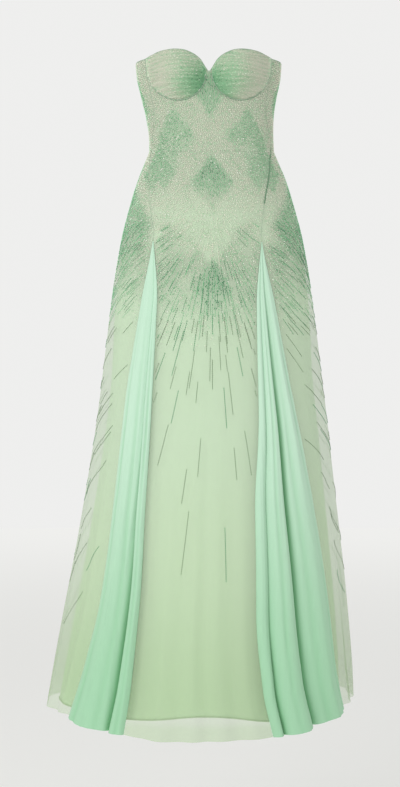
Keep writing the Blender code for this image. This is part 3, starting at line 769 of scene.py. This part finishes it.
def cloth_material(name):
    cloth = CLOTHS[name]
    tree, shader = principled(name)
    height = weave_height(tree, cloth.grain, cloth.stretch)
    # painted shade: from the darker foot colour below to the top colour above
    up = height_share(tree, *cloth.heights)
    light = mixed(tree, up, cloth.foot, cloth.top)
    gaps = [tuple(cloth.gaps * part for part in colour) for colour in (cloth.foot, cloth.top)]
    dark = mixed(tree, up, *gaps)
    link(tree, mixed(tree, height, dark, light), shader.inputs["Base Color"])
    set_inputs(shader, Roughness=cloth.roughness, Sheen_Weight=cloth.sheen, Alpha=cloth.alpha)
    bump(tree, shader, height, cloth.bumpiness)


def shade_creases():
    """Painted shade: the chiffon turns to a darker green where it lies in a crease or in the gap between two lobes."""
    tree = MATERIALS["chiffon"].node_tree
    colour = tree.nodes["Principled BSDF"].inputs["Base Color"]
    plain = colour.links[0].from_socket
    link(tree, mixed(tree, painted(tree, "shade"), plain, CREASE_SHADOW_COLOUR), colour)


def shade_under_lining_hem():
    """Painted shade: the tulle is made less see-through, and so darker, where it hangs below the lining's hem at the
    front.
    """
    tree = MATERIALS["tulle"].node_tree
    denser = add_node(tree, "ShaderNodeMapRange")
    set_inputs(denser, To_Min=FRONT_HEM_SHADE_ALPHA, To_Max=CLOTHS["tulle"].alpha)
    link(tree, height_share(tree, *FRONT_HEM_HEIGHTS), denser.inputs["Value"])
    link(tree, denser.outputs["Result"], tree.nodes["Principled BSDF"].inputs["Alpha"])


def bodice_colour(tree):
    return mixed(tree, painted(tree, "tone"), BEIGE_BACKING, GREEN_BACKING)


def bodice_material():
    """The foundation under the beads, tinted by the ornament's tone."""
    tree, shader = principled("bodice_foundation")
    link(tree, bodice_colour(tree), shader.inputs["Base Color"])
    set_inputs(shader, Roughness=0.7)
    bump(tree, shader, weave_height(tree, grain=900.0), strength=0.5, distance=0.5 * MM)


def lining_material():
    """Plain below, with painted shade darkening it towards the hem, and tinted as the bodice where the beads lie
    close.
    """
    tree, shader = principled("lining")
    # painted shade: the lining turns from its top colour to a darker foot colour between these heights
    plain = mixed(tree, height_share(tree, *LINING_HEIGHTS), LINING_SHADED_FOOT_COLOUR, LINING_LIT_TOP_COLOUR)
    tinted = mixed(tree, painted(tree, "backing"), plain, bodice_colour(tree))
    link(tree, tinted, shader.inputs["Base Color"])
    set_inputs(shader, Roughness=0.75, Sheen_Weight=0.05)
    bump(tree, shader, weave_height(tree, grain=60.0, stretch=(1, 1, 0.12)), strength=0.2)


# Each bead's colour, as the light and the dark end of its glass.
BEADS = {
    "bead_silver": ((0.88, 0.87, 0.74), (0.52, 0.53, 0.43)),
    "bead_pale": ((0.74, 0.86, 0.68), (0.46, 0.58, 0.42)),
    "bead_mint": ((0.50, 0.76, 0.51), (0.31, 0.54, 0.33)),
    "bead_green": ((0.27, 0.58, 0.33), (0.15, 0.40, 0.21)),
    "bead_deep": ((0.11, 0.32, 0.17), (0.06, 0.21, 0.11)),
    "bead_grey": ((0.22, 0.30, 0.19), (0.14, 0.20, 0.12)),
    # painted glints: near-white glass that stands for highlights on the beads
    "bead_glint": ((0.98, 0.99, 0.92), (0.80, 0.84, 0.74)),
}
SILVER, PALE, _, GREEN, DEEP, GREY, GLINT = range(len(BEADS))
GLINTS = 0.015  # share of the beads given near-white glass: painted glints
TONE_STEPS = (0.12, 0.30, 0.52, 0.90)


def bead_material(name):
    light, dark = BEADS[name]
    tree, shader = principled(name)
    colour = mixed(tree, weave_height(tree, grain=320.0), dark, light)
    link(tree, colour, shader.inputs["Base Color"])
    set_inputs(shader, Roughness=0.22)


def make_materials():
    for name in CLOTHS:
        cloth_material(name)
    shade_creases()
    shade_under_lining_hem()
    lining_material()
    bodice_material()
    for name in BEADS:
        bead_material(name)


# Shells.

def add_object(name, data):
    made = bpy.data.objects.new(name, data)
    bpy.context.scene.collection.objects.link(made)
    return made


def mesh_object(name, points, faces, slots, smooth=True):
    mesh = bpy.data.meshes.new(name)
    mesh.from_pydata([tuple(p) for p in points], [], faces)
    mesh.update()
    for slot in slots:
        mesh.materials.append(MATERIALS[slot])
    if smooth:
        mesh.shade_smooth()
    return add_object(name, mesh)


def grid_object(name, grid, slots):
    columns = len(grid[0])
    faces = []
    for r in range(len(grid) - 1):
        for c in range(columns - 1):
            at = r * columns + c
            faces.append((at, at + columns, at + columns + 1, at + 1))
    return mesh_object(name, [p for row in grid for p in row], faces, slots)


def dress(made, slot, *nodes):
    """The piece rides on the gown, takes a finish, and stands for the CAD nodes given."""
    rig.ride(made, "gown")
    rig.slot(made, slot)
    if nodes:
        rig.replaces(made, *nodes)
    return made


def level_rows(top, bottom):
    """Levels of a shell's rows, evenly spaced from its top to its bottom."""
    count = round((top - bottom) / ROW_STEP)
    return [top + (bottom - top) * r / count for r in range(count + 1)]


def panel_grid(panel, lift, bottom=HEM_LEVEL):
    middle = (JOIN + bottom) / 2
    start, end = panel.edges(middle)
    width = radians(end - start) * section_at(middle)[1]
    columns = round(COLUMNS_FOR_HEM * width / COLUMN_STEP)
    rows = [(1 - r / YOKE_ROWS, JOIN) for r in range(YOKE_ROWS)]
    rows += [(0.0, level) for level in level_rows(JOIN, bottom)]
    return [[panel_point(panel, c / columns, rise, level, lift) for c in range(columns + 1)]
            for rise, level in rows]


def make_tulle(panel):
    made = grid_object(panel.name + "_tulle", panel_grid(panel, 0.0), ["tulle"])
    return dress(made, "beaded_tulle", panel.name)


def make_foundation(panel):
    """The opaque bodice layer just inside the tulle, down to the lining's top."""
    grid = panel_grid(panel, -1.0 * MM, FOUNDATION_END)
    made = grid_object(panel.name + "_foundation", grid, ["bodice_foundation"])
    paint_tone(made)
    dress(made, "beaded_tulle")


def cup_pleat(side, share, level):
    """Soft drapes that run round the cup, as a height above its shell."""
    drape = uneven(DRAPE_GRAINS[side], share, level)
    bow = PLEAT_BOW * share * (1 - share)
    wave = sin(2 * pi * (level * PLEATS_PER_METRE + bow + drape))
    return CUP_PLEAT * wave * smoothstep(PLEAT_FADE * share) * smoothstep(PLEAT_FADE * (1 - share))


def cup_angle(share):
    """The angle at a share of the way across a cup; equal shares lie closer at both ends."""
    outer = CUP_SIDE - half_gap_angle(CUP_LEVEL)
    eased = share / 2 + (1 - cos(pi * share)) / 4
    return CUP_INNER + (outer - CUP_INNER) * eased


def cup_place(side, share, drop):
    angle = side * cup_angle(share)
    top, bottom = neckline(angle), underwire(angle)
    return angle, top + (bottom - top) * drop


def make_cup(node, side):
    shares = [c / CUP_COLUMNS for c in range(CUP_COLUMNS + 1)]
    if side < 0:
        shares = [1 - share for share in shares]
    grid = []
    for r in range(CUP_ROWS + 1):
        places = [(share, *cup_place(side, share, r / CUP_ROWS)) for share in shares]
        grid.append([cloth_point(angle, level, cup_pleat(side, share, level))
                     for share, angle, level in places])
    made = grid_object(node + "_shell", grid, ["bodice_foundation"])
    paint_tone(made)
    thick = made.modifiers.new("thickness", "SOLIDIFY")
    thick.thickness = CUP_THICKNESS
    thick.offset = -1.0
    dress(made, "cup_tulle", node)


def godet_down(level):
    """0 at the godets' tops, 1 at the hem."""
    return (GODET_TOP - level) / (GODET_TOP - HEM_LEVEL)


def godet_edges(side, level):
    """Angles from the centre front to the front gore's edge and to the side gore's."""
    left_side, left_front, right_front, right_side = seams_at(level)
    return (right_front, right_side) if side == "right" else (left_front, left_side)


def lobe_end(lobe, down):
    return lobe.end_top + (lobe.end_hem - lobe.end_top) * down


def valley(side, share, level):
    """1 at the bottom of the gap between two lobes, 0 beside it."""
    down = godet_down(level)
    near, far = godet_edges(side, level)
    across = radians(far - near) * section_at(level)[2]
    deepest = 0.0
    for lobe in GODET_LOBES[side][:-1]:
        apart = (share - lobe_end(lobe, down)) * across
        opened = smoothstep((down - lobe.opens) / VALLEY_OPENING)
        deepest = max(deepest, opened * exp(-((apart / VALLEY_WIDTH) ** 2)))
    return deepest


def crease_height(side, share, level):
    """How far the soft creases raise the chiffon."""
    down = godet_down(level)
    height = 0.0
    for top, hem, width, depth in CREASES[side]:
        place = top + (hem - top) * down
        strength = CREASE_MEAN + CREASE_SWING * uneven(CREASE_GRAIN, place, level)
        height += depth * strength * exp(-(((share - place) / width) ** 2))
    return height * smoothstep(down * CREASE_GROWTH)


def lobe_height(side, share, down):
    """How high the lobe that holds this share of the godet is there, once it has grown."""
    begin = 0.0
    for lobe in GODET_LOBES[side]:
        end = lobe_end(lobe, down)
        if share <= end + TINY:
            place = min(max((share - begin) / (end - begin), 0.0), 1.0)
            return lobe.height * sin(pi * place) ** LOBE_ROUNDNESS if 0 < place < 1 else 0.0
        begin = end
    return 0.0


def godet_point(side, share, level):
    down = godet_down(level)
    near, far = godet_edges(side, level)
    gap = half_gap_angle(level)
    start, end = near + gap, far - gap
    angle = start + (end - start) * share
    if side == "left":
        angle = -angle
    lobes = lobe_height(side, share, down) * min(1.0, down / LOBES_FULL) ** LOBE_GROWTH
    crumple = CRUMPLE * smoothstep(down * CRUMPLE_GROWTH) * uneven(CRUMPLE_GRAIN, angle, level)
    creases = crease_height(side, share, level) - VALLEY_DEPTH * valley(side, share, level)
    foot = smoothstep((HEM_LEVEL + GODET_FOOT - level) / GODET_FOOT)
    reach = level - GODET_LONGER * foot * sin(pi * share)
    return cloth_point(angle, reach, lobes + crumple + creases)


def godet_shares(side, down):
    """Shares across the godet, closest together in the valleys between its lobes."""
    shares, begin = [0.0], 0.0
    for lobe in GODET_LOBES[side]:
        end = lobe_end(lobe, down)
        for c in range(1, LOBE_COLUMNS + 1):
            shares.append(begin + (end - begin) * (1 - cos(pi * c / LOBE_COLUMNS)) / 2)
        begin = end
    return shares


def make_godet(node, side):
    grid, shades = [], []
    for level in level_rows(GODET_TOP - GODET_START, HEM_LEVEL):
        shares = godet_shares(side, godet_down(level))
        if side == "left":
            shares.reverse()
        grid.append([godet_point(side, share, level) for share in shares])
        for share in shares:
            sunk = max(0.0, -crease_height(side, share, level)) / DEEPEST_CREASE
            shades.append(VALLEY_SHADE * valley(side, share, level) + CREASE_SHADE * sunk)
    made = grid_object(node + "_chiffon", grid, ["chiffon"])
    attribute = made.data.attributes.new("shade", "FLOAT", "POINT")
    attribute.data.foreach_set("value", shades)
    return dress(made, "mint_chiffon", node)


def lining_hem(angle):
    return HEM_LEVEL + LINING_SHORTER + LINING_ARCH * exp(-((angle / ARCH_ANGLE) ** 2))


def lining_angle(start, end, gap, share):
    """The angle at a share of the way from one side seam to the other."""
    return (start + gap + (end - start - 2 * gap) * share + 180) % 360 - 180


def lining_point(node, share, angle, level):
    lift = fold_lift(node, share, level) + ripple(angle, level)
    return cloth_point(angle, level, lift, inset_at(level))


def make_lining(node, start, end):
    grid = []
    for level in level_rows(LINING_TOP, HEM_LEVEL):
        down = max(0.0, godet_down(level))
        gap = half_gap_angle(level)
        row = []
        for c in range(LINING_COLUMNS + 1):
            share = c / LINING_COLUMNS
            angle = lining_angle(start, end, gap, share)
            here = level + (lining_hem(angle) - HEM_LEVEL) * down
            row.append(lining_point(node, share, angle, here))
        grid.append(row)
    made = grid_object(node + "_skirt", grid, ["lining"])
    paint_tone(made)
    return dress(made, "lining", node)


# Beadwork.

def across_of(angle, level):
    """Distance round the cloth from the centre front, or from the centre back behind the side."""
    return mean_radius(level) * radians(min(abs(angle), 180 - abs(angle)))


def lozenge_tone(across, z):
    tone = ground_at(z)[0]
    for middle, height, half_width, half_height, low_tone, top_tone in LOZENGES:
        reach = abs(across - middle) / half_width + abs(z - height) / half_height
        inside = smoothstep((1 - reach) / LOZENGE_EDGE + 0.5)
        up = smoothstep(0.5 + (z - height) / (2 * half_height))
        tone += inside * (low_tone + (top_tone - low_tone) * up - tone)
    return tone


def cup_tone(across, z):
    inward = smoothstep((CUP_GREEN_ACROSS - across) / CUP_GREEN_FADE)
    low = smoothstep((CUP_GREEN_TOP - z) / CUP_GREEN_FADE)
    return CUP_TONE + CUP_GREEN * inward * (CUP_TOP_SHARE + CUP_LOW_SHARE * low)


def cloth_tone(angle, level):
    z = height_of(angle, level)
    across = across_of(angle, level)
    plain = cup_tone(across, z) if cup_closeness(angle, level) > 0 else lozenge_tone(across, z)
    return plain + TONE_NOISE * uneven(TONE_GRAINS[angle > 0], across, z)


def sideways(angle, level):
    """0 at the front and back, 1 at the sides."""
    return smoothstep((across_of(angle, level) - SIDE_START) / SIDE_BLEND)


def below_waist(z):
    return smoothstep((PALE_BELOW - z) / (PALE_BELOW - PALE_FULL))


def paleness(z, tone):
    """1 where pale beads lie on a light ground below the hips, 0 elsewhere."""
    return below_waist(z) * smoothstep((PALE_TONES[0] - tone) / PALE_TONES[1])


def paint_tone(made):
    """Writes the ornament's tone to a shell's points, and where it backs close beads."""
    tones = made.data.attributes.new("tone", "FLOAT", "POINT")
    backing = made.data.attributes.new("backing", "FLOAT", "POINT")
    low, high = BODICE_FADE
    for vertex, tone, back in zip(made.data.vertices, tones.data, backing.data):
        x, y, z = vertex.co
        centre, half_width, front, behind = section_at(z)
        depth = front if y < 0 else behind
        angle = degrees(atan2((x - centre) / half_width, -y / depth))
        level = level_of(angle, z)
        tone.value = min(max(cloth_tone(angle, level), 0.0), 1.0)
        up = (z - SIDE_SOONER * sideways(angle, level) - low) / (high - low)
        back.value = smoothstep(up) * (1 - PALE_SHARE * paleness(z, tone.value))


class BeadHeap:
    """Collects the beads of one panel and makes them one mesh."""

    CORNERS = 4

    def __init__(self):
        self.points, self.faces, self.slots = [], [], []

    def add(self, middle, along, out, length, radius, slot):
        across = along.cross(out).normalized()
        base = len(self.points)
        self.points += [middle + along * (length / 2), middle - along * (length / 2)]
        sides = (across, out, -across, -out)
        self.points += [middle + side * radius for side in sides]
        for i in range(self.CORNERS):
            j = (i + 1) % self.CORNERS
            self.faces.append((base, base + 2 + i, base + 2 + j))
            self.faces.append((base + 1, base + 2 + j, base + 2 + i))
        self.slots += [slot] * (2 * self.CORNERS)

    def finish(self, name, slot="beaded_tulle"):
        made = mesh_object(name, self.points, self.faces, BEADS, smooth=False)
        made.data.polygons.foreach_set("material_index", self.slots)
        return dress(made, slot)


def bead_slot(rng, tone):
    """A bead's material: its tone, spread a little so that one shade fades into the next."""
    # a few beads take the painted glint
    if rng.random() < GLINTS:
        return GLINT
    value = tone + rng.uniform(-TONE_JITTER, TONE_JITTER)
    return sum(value > step for step in TONE_STEPS)


def directions(point_at, angle, level, near=(0.4, 0.003)):
    """A place on the cloth, and the directions across it, down it and out of it."""
    here = point_at(angle, level)
    side = (point_at(angle + near[0], level) - point_at(angle - near[0], level)).normalized()
    down = (point_at(angle, level - near[1]) - point_at(angle, level + near[1])).normalized()
    out = down.cross(side).normalized()
    return here, side, down, -out if out.dot(Vector((here.x, here.y, 0.0))) < 0 else out


def slanted(side, down, turn):
    """The direction along the cloth that is turned this far from straight down."""
    return (down * cos(turn) + side * sin(turn)).normalized()


def ray_slant(angle, level):
    """How far bead rows turn from straight down, in radians, away from the centre."""
    z = height_of(angle, level)
    from_sun = atan2(across_of(angle, level), max(SUN_HEIGHT - z, SUN_NEAREST))
    at_side = radians(side_slant_at(z)[0])
    turned = sideways(angle, level)
    outward = copysign(1.0, angle) * min(max((90 - abs(angle)) / SIDE_LINE, -1.0), 1.0)
    return outward * (min(from_sun, MOST_SLANT) * (1 - turned) + at_side * turned)


def density_at(angle, level, tone):
    """Share of the places in the bead grid that hold a bead: full above, thinning below."""
    z = height_of(angle, level)
    side = sideways(angle, level)
    up = (z - SIDE_SOONER * side - BEADS_END) / (BEADS_THIN - BEADS_END)
    edge = side * below_waist(z)
    return smoothstep(up) * (1 - PALE_THINNER * paleness(z, tone)) * (1 - EDGE_THINNER * edge)


def panel_surface(panel):
    def point_at(angle, level):
        share = share_of(panel, angle, level)
        return cloth_point(angle, level, fold_lift(panel.folds, share, level) + ripple(angle, level))
    return point_at


def panel_inside(panel, margin):
    def inside(angle, level):
        share = share_of(panel, angle, level)
        return margin < share < 1 - margin and level < panel.top(angle) - TOP_MARGIN
    return inside


def scatter_beads(heap, rng, panel):
    """Short bugle beads on a jittered grid, turned along the rays."""
    point_at, inside = panel_surface(panel), panel_inside(panel, BEAD_MARGIN)
    start, end = panel.angles
    level = panel.bead_top
    while level > BEADS_END:
        step = degrees(BEAD_PITCH / mean_radius(level))
        angle = start + rng.uniform(0, step)
        while angle < end:
            aside = rng.uniform(-BEAD_JITTER, BEAD_JITTER) * step
            above = rng.uniform(-BEAD_ROW_JITTER, BEAD_ROW_JITTER) * BEAD_PITCH
            here = angle + aside, level + above
            angle += step
            if not inside(*here):
                continue
            tone = cloth_tone(*here)
            if rng.random() < density_at(*here, tone):
                middle, side, down, out = directions(point_at, *here)
                turn = ray_slant(*here) + rng.uniform(-TURN_JITTER, TURN_JITTER)
                heap.add(middle + out * BEAD_LIFT, slanted(side, down, turn), out, BEAD_LENGTH,
                         BEAD_RADIUS, bead_slot(rng, tone))
        level -= BEAD_ROW_STEP


def add_dash(heap, rng, point_at, inside, start, slant, length, radius, slots):
    """A line of bugle beads along the cloth from a start, turned outward by slant."""
    angle, level = start
    travelled = 0.0
    slot = rng.choice(slots)
    while travelled < length and inside(angle, level):
        middle, side, down, out = directions(point_at, angle, level)
        heap.add(middle + out * DASH_LIFT, slanted(side, down, slant), out,
                 BEAD_LENGTH * DASH_OVERLAP, radius, slot)
        angle += degrees(sin(slant) * BEAD_LENGTH / mean_radius(level))
        level -= cos(slant) * BEAD_LENGTH
        travelled += BEAD_LENGTH


def ray_look(tone, close):
    """Which beads a ray takes, and their radius."""
    if not close:
        return (GREY, DEEP, GREY), FAR_RADIUS
    return ((PALE, SILVER) if tone < PALE_TONE else (GREEN, GREEN, DEEP)), DASH_RADIUS


def ray_chance(tone, close, level, thinner):
    if close:
        return (RAY_CHANCE + RAY_GAIN * (tone - RAY_TONE)) * (1 - thinner)
    return 1 - FAR_THINNER * thinner * smoothstep((level - FAR_THIN_END) / FAR_THIN_FADE)


def add_rays(heap, rng, panel):
    """Dashes that follow the rays, close and short at the hips, long and sparse below."""
    point_at, on_panel = panel_surface(panel), panel_inside(panel, RAY_MARGIN)

    def inside(angle, level):
        return on_panel(angle, level) and abs(abs(angle) - 90) > SIDE_GAP

    start, end = panel.angles
    level = RAYS[0].z
    while level > panel.rays_end:
        row_step, spacing, length = rays_at(level)
        close = level > RAYS[1].z
        step = degrees(spacing / mean_radius(level))
        angle = start + rng.uniform(0, step)
        while angle < end:
            aside = rng.uniform(-RAY_JITTER, RAY_JITTER) * step
            here = angle + aside, level + rng.uniform(-RAY_ROW_JITTER, RAY_ROW_JITTER) * row_step
            angle += step
            if not inside(*here):
                continue
            tone = cloth_tone(*here)
            slots, radius = ray_look(tone, close)
            chance = ray_chance(tone, close, level, EDGE_THINNER * sideways(*here))
            if (close and tone < PALE_TONE) or rng.random() < chance:
                add_dash(heap, rng, point_at, inside, here, ray_slant(*here),
                         length * rng.uniform(*RAY_LENGTHS), radius, slots)
        level -= row_step * (1.0 if close else panel.rows)


def make_panel_beads(panel):
    rng = random.Random(SEED + sum(ord(letter) for letter in panel.name))
    heap = BeadHeap()
    scatter_beads(heap, rng, panel)
    add_rays(heap, rng, panel)
    return heap.finish(panel.name + "_beads")


def make_cup_beads(node, side):
    """Fine rows of beads that follow the curve of the cup."""
    rng = random.Random(SEED + side)
    heap = BeadHeap()
    for r in range(CUP_BEAD_ROWS):
        for c in range(CUP_BEADS):
            share = (c + rng.uniform(0.0, 1.0)) / CUP_BEADS
            drop = (r + rng.uniform(0.1, 0.9)) / CUP_BEAD_ROWS
            angle, level = cup_place(side, share, drop)
            ahead = cup_place(side, min(1.0, share + CUP_BEAD_AHEAD), drop)
            pleat = cup_pleat(side, share, level)
            middle = cloth_point(angle, level, pleat)
            along = (cloth_point(*ahead, pleat) - middle).normalized()
            out = directions(cloth_point, angle, level)[-1]
            # painted light and shade on the pleats: paler glass on their ridges, darker in their hollows
            slot = bead_slot(rng, cloth_tone(angle, level) - PLEAT_LIGHT_AND_SHADE * pleat / CUP_PLEAT)
            heap.add(middle + out * CUP_BEAD_LIFT, along, out, BEAD_LENGTH, CUP_BEAD_RADIUS, slot)
    heap.finish(node + "_beads", "cup_tulle")


# Trimmings.

TUBE_CORNERS = 8
NEARLY_UPRIGHT = 0.2
PIPING_RADIUS = 1.3 * MM
UNDERWIRE_SHADOW_RADIUS = 0.6 * MM
SEAM_RADIUS = 0.5 * MM
HIP_SHADOW_RADIUS = 1.6 * MM  # the right seam lies in shadow from the waist to the hip
# the rolled hem is drawn this thick so that it also carries the painted shadow under the hem
HEM_AND_SHADOW_RADIUS = 1.7 * MM
SEAM_SINK, HIP_SINK = 0.3 * MM, 0.5 * MM
SEAM_TOP, SEAM_WAIST, SEAM_HIP = 0.125, -0.004, -0.125
SEAM_STEPS = 90
NECK_STEPS = 360
WIRE_STEPS, WIRE_END_STEPS = 60, 14
HEM_STEPS = 120
OPEN_END = 0.1  # degrees that closed rounds stop short of their seam


def tube(name, path, radius, colour, slot="beaded_tulle"):
    """A round cord along a path of points, closed at both ends."""
    corners = TUBE_CORNERS
    points, faces = [], []
    for i, here in enumerate(path):
        ahead = path[min(i + 1, len(path) - 1)] - path[max(i - 1, 0)]
        ahead.normalize()
        side = ahead.cross(Vector((0.0, 0.0, 1.0)))
        if side.length < NEARLY_UPRIGHT:
            side = ahead.cross(Vector((0.0, 1.0, 0.0)))
        side.normalize()
        up = side.cross(ahead)
        for k in range(corners):
            turned = 2 * pi * k / corners
            points.append(here + (side * cos(turned) + up * sin(turned)) * radius)
    for i in range(len(path) - 1):
        base, ahead = i * corners, (i + 1) * corners
        for k in range(corners):
            j = (k + 1) % corners
            faces.append((base + k, base + j, ahead + j, ahead + k))
    faces.append(tuple(range(corners - 1, -1, -1)))
    faces.append(tuple(range((len(path) - 1) * corners, len(path) * corners)))
    dress(mesh_object(name, points, faces, [colour]), slot)


def make_neck_piping():
    path = []
    for i in range(NECK_STEPS + 1):
        angle = OPEN_END - 180 + (360 - 2 * OPEN_END) * i / NECK_STEPS
        path.append(cloth_point(angle, neckline(angle) + 0.2 * MM, -0.9 * MM))
    tube("neckline_piping", path, PIPING_RADIUS, "binding")


def make_underwires():
    """A casing along each underwire and up the cup's outer side, and below it a thin dark cord that paints the shadow
    under the cup's lower edge.
    """
    for side, place in SIDES:
        angles = [side * cup_angle(i / WIRE_STEPS) for i in range(WIRE_STEPS + 1)]
        path = [cloth_point(angle, underwire(angle) - 0.3 * MM, 0.1 * MM) for angle in angles]
        outer = angles[-1]
        for i in range(1, WIRE_END_STEPS + 1):
            level = CUP_LEVEL + (neckline(outer) - CUP_LEVEL) * i / WIRE_END_STEPS
            path.append(cloth_point(outer, level, 0.1 * MM))
        tube("underwire_casing_" + place, path, PIPING_RADIUS, "binding", "cup_tulle")
        # painted shadow: a thin dark cord just below the underwire
        path = [cloth_point(angle, underwire(angle) - 1.6 * MM, 0.5 * MM) for angle in angles[2:52]]
        tube("underwire_stitching_" + place, path, UNDERWIRE_SHADOW_RADIUS, "seam_shadow", "cup_tulle")


def seam_path(angle_at, top, bottom, sink=SEAM_SINK):
    levels = [top + (bottom - top) * i / SEAM_STEPS for i in range(SEAM_STEPS + 1)]
    return [cloth_point(angle_at(level), level, -sink) for level in levels]


def make_seams():
    front_seams = (
        ("left", lambda level: -seams_at(level)[0], SEAM_RADIUS, "binding"),
        ("right", lambda level: seams_at(level)[3], HIP_SHADOW_RADIUS, "seam_shadow"),
    )
    for place, angle_at, hip_radius, hip_colour in front_seams:
        upper = seam_path(angle_at, SEAM_TOP, SEAM_WAIST)
        tube("princess_seam_" + place, upper, SEAM_RADIUS, "binding")
        lower = seam_path(angle_at, SEAM_WAIST, SEAM_HIP, HIP_SINK)
        tube("hip_seam_" + place, lower, hip_radius, hip_colour)
        tube("godet_seam_" + place, seam_path(angle_at, SEAM_HIP, GODET_TOP), SEAM_RADIUS, "binding")
    back_seams = (("back_seam_left", -BACK_SEAM), ("back_seam_right", BACK_SEAM),
                  ("centre_back_seam", ZIP_SEAM))
    for name, angle in back_seams:
        path = seam_path(lambda level, angle=angle: angle, neckline(angle), HEM_LEVEL)
        tube(name, path, SEAM_RADIUS, "binding")


# A rolled hem along each lining's foot, made darker and thicker than the real one to paint the shadow under it.
def make_lining_hems():
    for node, start, end in LININGS:
        path = []
        for i in range(HEM_STEPS + 1):
            angle = lining_angle(start, end, OPEN_END, i / HEM_STEPS)
            path.append(lining_point(node, i / HEM_STEPS, angle, lining_hem(angle)))
        tube(node + "_rolled_hem", path, HEM_AND_SHADOW_RADIUS, "rolled_hem", "lining")


def finish_zip():
    tree, shader = principled("zip_lacquer")
    colour = mixed(tree, weave_height(tree, grain=500.0), (0.42, 0.55, 0.43), (0.55, 0.68, 0.54))
    link(tree, colour, shader.inputs["Base Color"])
    set_inputs(shader, Roughness=0.3, Metallic=0.8)
    for node in ("zip_slider", "zip_pull"):
        for slot in frame["nodes"][node].material_slots:
            slot.material = MATERIALS["zip_lacquer"]


# A sheet's length from top to hem, and how much wider than its mean width it is cut.
TULLE_CUT, CHIFFON_CUT, SKIRT_CUT = (1.36, 1.25), (1.0, 1.7), (1.19, 1.3)


def declare_sheet(made, cut, **beads):
    length, flare = cut
    area = sum(face.area for face in made.data.polygons)
    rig.sheet(made, flat=(flare * area / length, length), held="hung", area=area, **beads)


def declare_sheets(tulles, godets, linings):
    for made, beads in tulles:
        declare_sheet(made, TULLE_CUT, with_pieces=[beads])
    for made in godets:
        declare_sheet(made, CHIFFON_CUT)
    for made in linings:
        declare_sheet(made, SKIRT_CUT)


# Stage.

def make_stage():
    """The floor, which grows as light as the air around it towards its rim."""
    tree, shader = principled("studio_paper")
    where = add_node(tree, "ShaderNodeTexCoord")
    away = add_node(tree, "ShaderNodeVectorMath", operation="LENGTH")
    link(tree, where.outputs["Object"], away.inputs[0])
    share = smooth_share(tree, away.outputs["Value"], FLOOR_NEAR, FLOOR_RADIUS)
    link(tree, mixed(tree, share, PAPER, AIR), shader.inputs["Base Color"])
    set_inputs(shader, Roughness=1.0, Specular_IOR_Level=0.0)
    turns = [2 * pi * i / FLOOR_CORNERS for i in range(FLOOR_CORNERS)]
    rim = [Vector((sin(turn), cos(turn), 0.0)) * FLOOR_RADIUS for turn in turns]
    face = tuple(range(FLOOR_CORNERS - 1, -1, -1))
    stage = mesh_object("studio_floor", rim, [face], ["studio_paper"])
    stage.location = (0.0, 0.0, FLOOR)
    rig.stage(stage)


def area_light(lamp):
    data = bpy.data.lights.new(lamp.name, "AREA")
    data.shape = "RECTANGLE"
    data.size, data.size_y = lamp.size
    data.energy = lamp.power
    made = add_object(lamp.name, data)
    made.location = lamp.place
    aim = Vector(lamp.target) - Vector(lamp.place)
    made.rotation_euler = aim.to_track_quat("-Z", "Y").to_euler()


def make_lights():
    world = bpy.data.worlds.new("studio")
    world.use_nodes = True
    set_inputs(world.node_tree.nodes["Background"], Color=(*AIR, 1.0), Strength=AIR_STRENGTH)
    bpy.context.scene.world = world
    for lamp in LAMPS:
        area_light(lamp)
    bpy.context.scene.view_settings.view_transform = "Standard"


def make_camera():
    data = bpy.data.cameras.new("photo_camera")
    data.sensor_width = SENSOR
    data.lens = SENSOR * CAMERA_DISTANCE / FRAME_HEIGHT
    made = add_object("photo_camera", data)
    made.location = (CAMERA_RIGHT, -CAMERA_DISTANCE, CAMERA_HEIGHT)
    made.rotation_euler = (pi / 2, 0.0, 0.0)
    bpy.context.scene.camera = made


def main():
    make_camera()
    make_materials()
    linings = [make_lining(*lining) for lining in LININGS]
    godets = [make_godet("godet_" + side, side) for side in ("left", "right")]
    tulles = []
    for panel in PANELS:
        tulle = make_tulle(panel)
        make_foundation(panel)
        tulles.append((tulle, make_panel_beads(panel)))
    for side, place in SIDES:
        make_cup("cup_" + place, side)
        make_cup_beads("cup_" + place, side)
    make_neck_piping()
    make_underwires()
    make_seams()
    make_lining_hems()
    finish_zip()
    declare_sheets(tulles, godets, linings)
    make_stage()
    make_lights()


main()
with open("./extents.json", "w") as out:
    json.dump({"cad": cad_box, "visual": [list(corner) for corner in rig.bounds()]}, out)
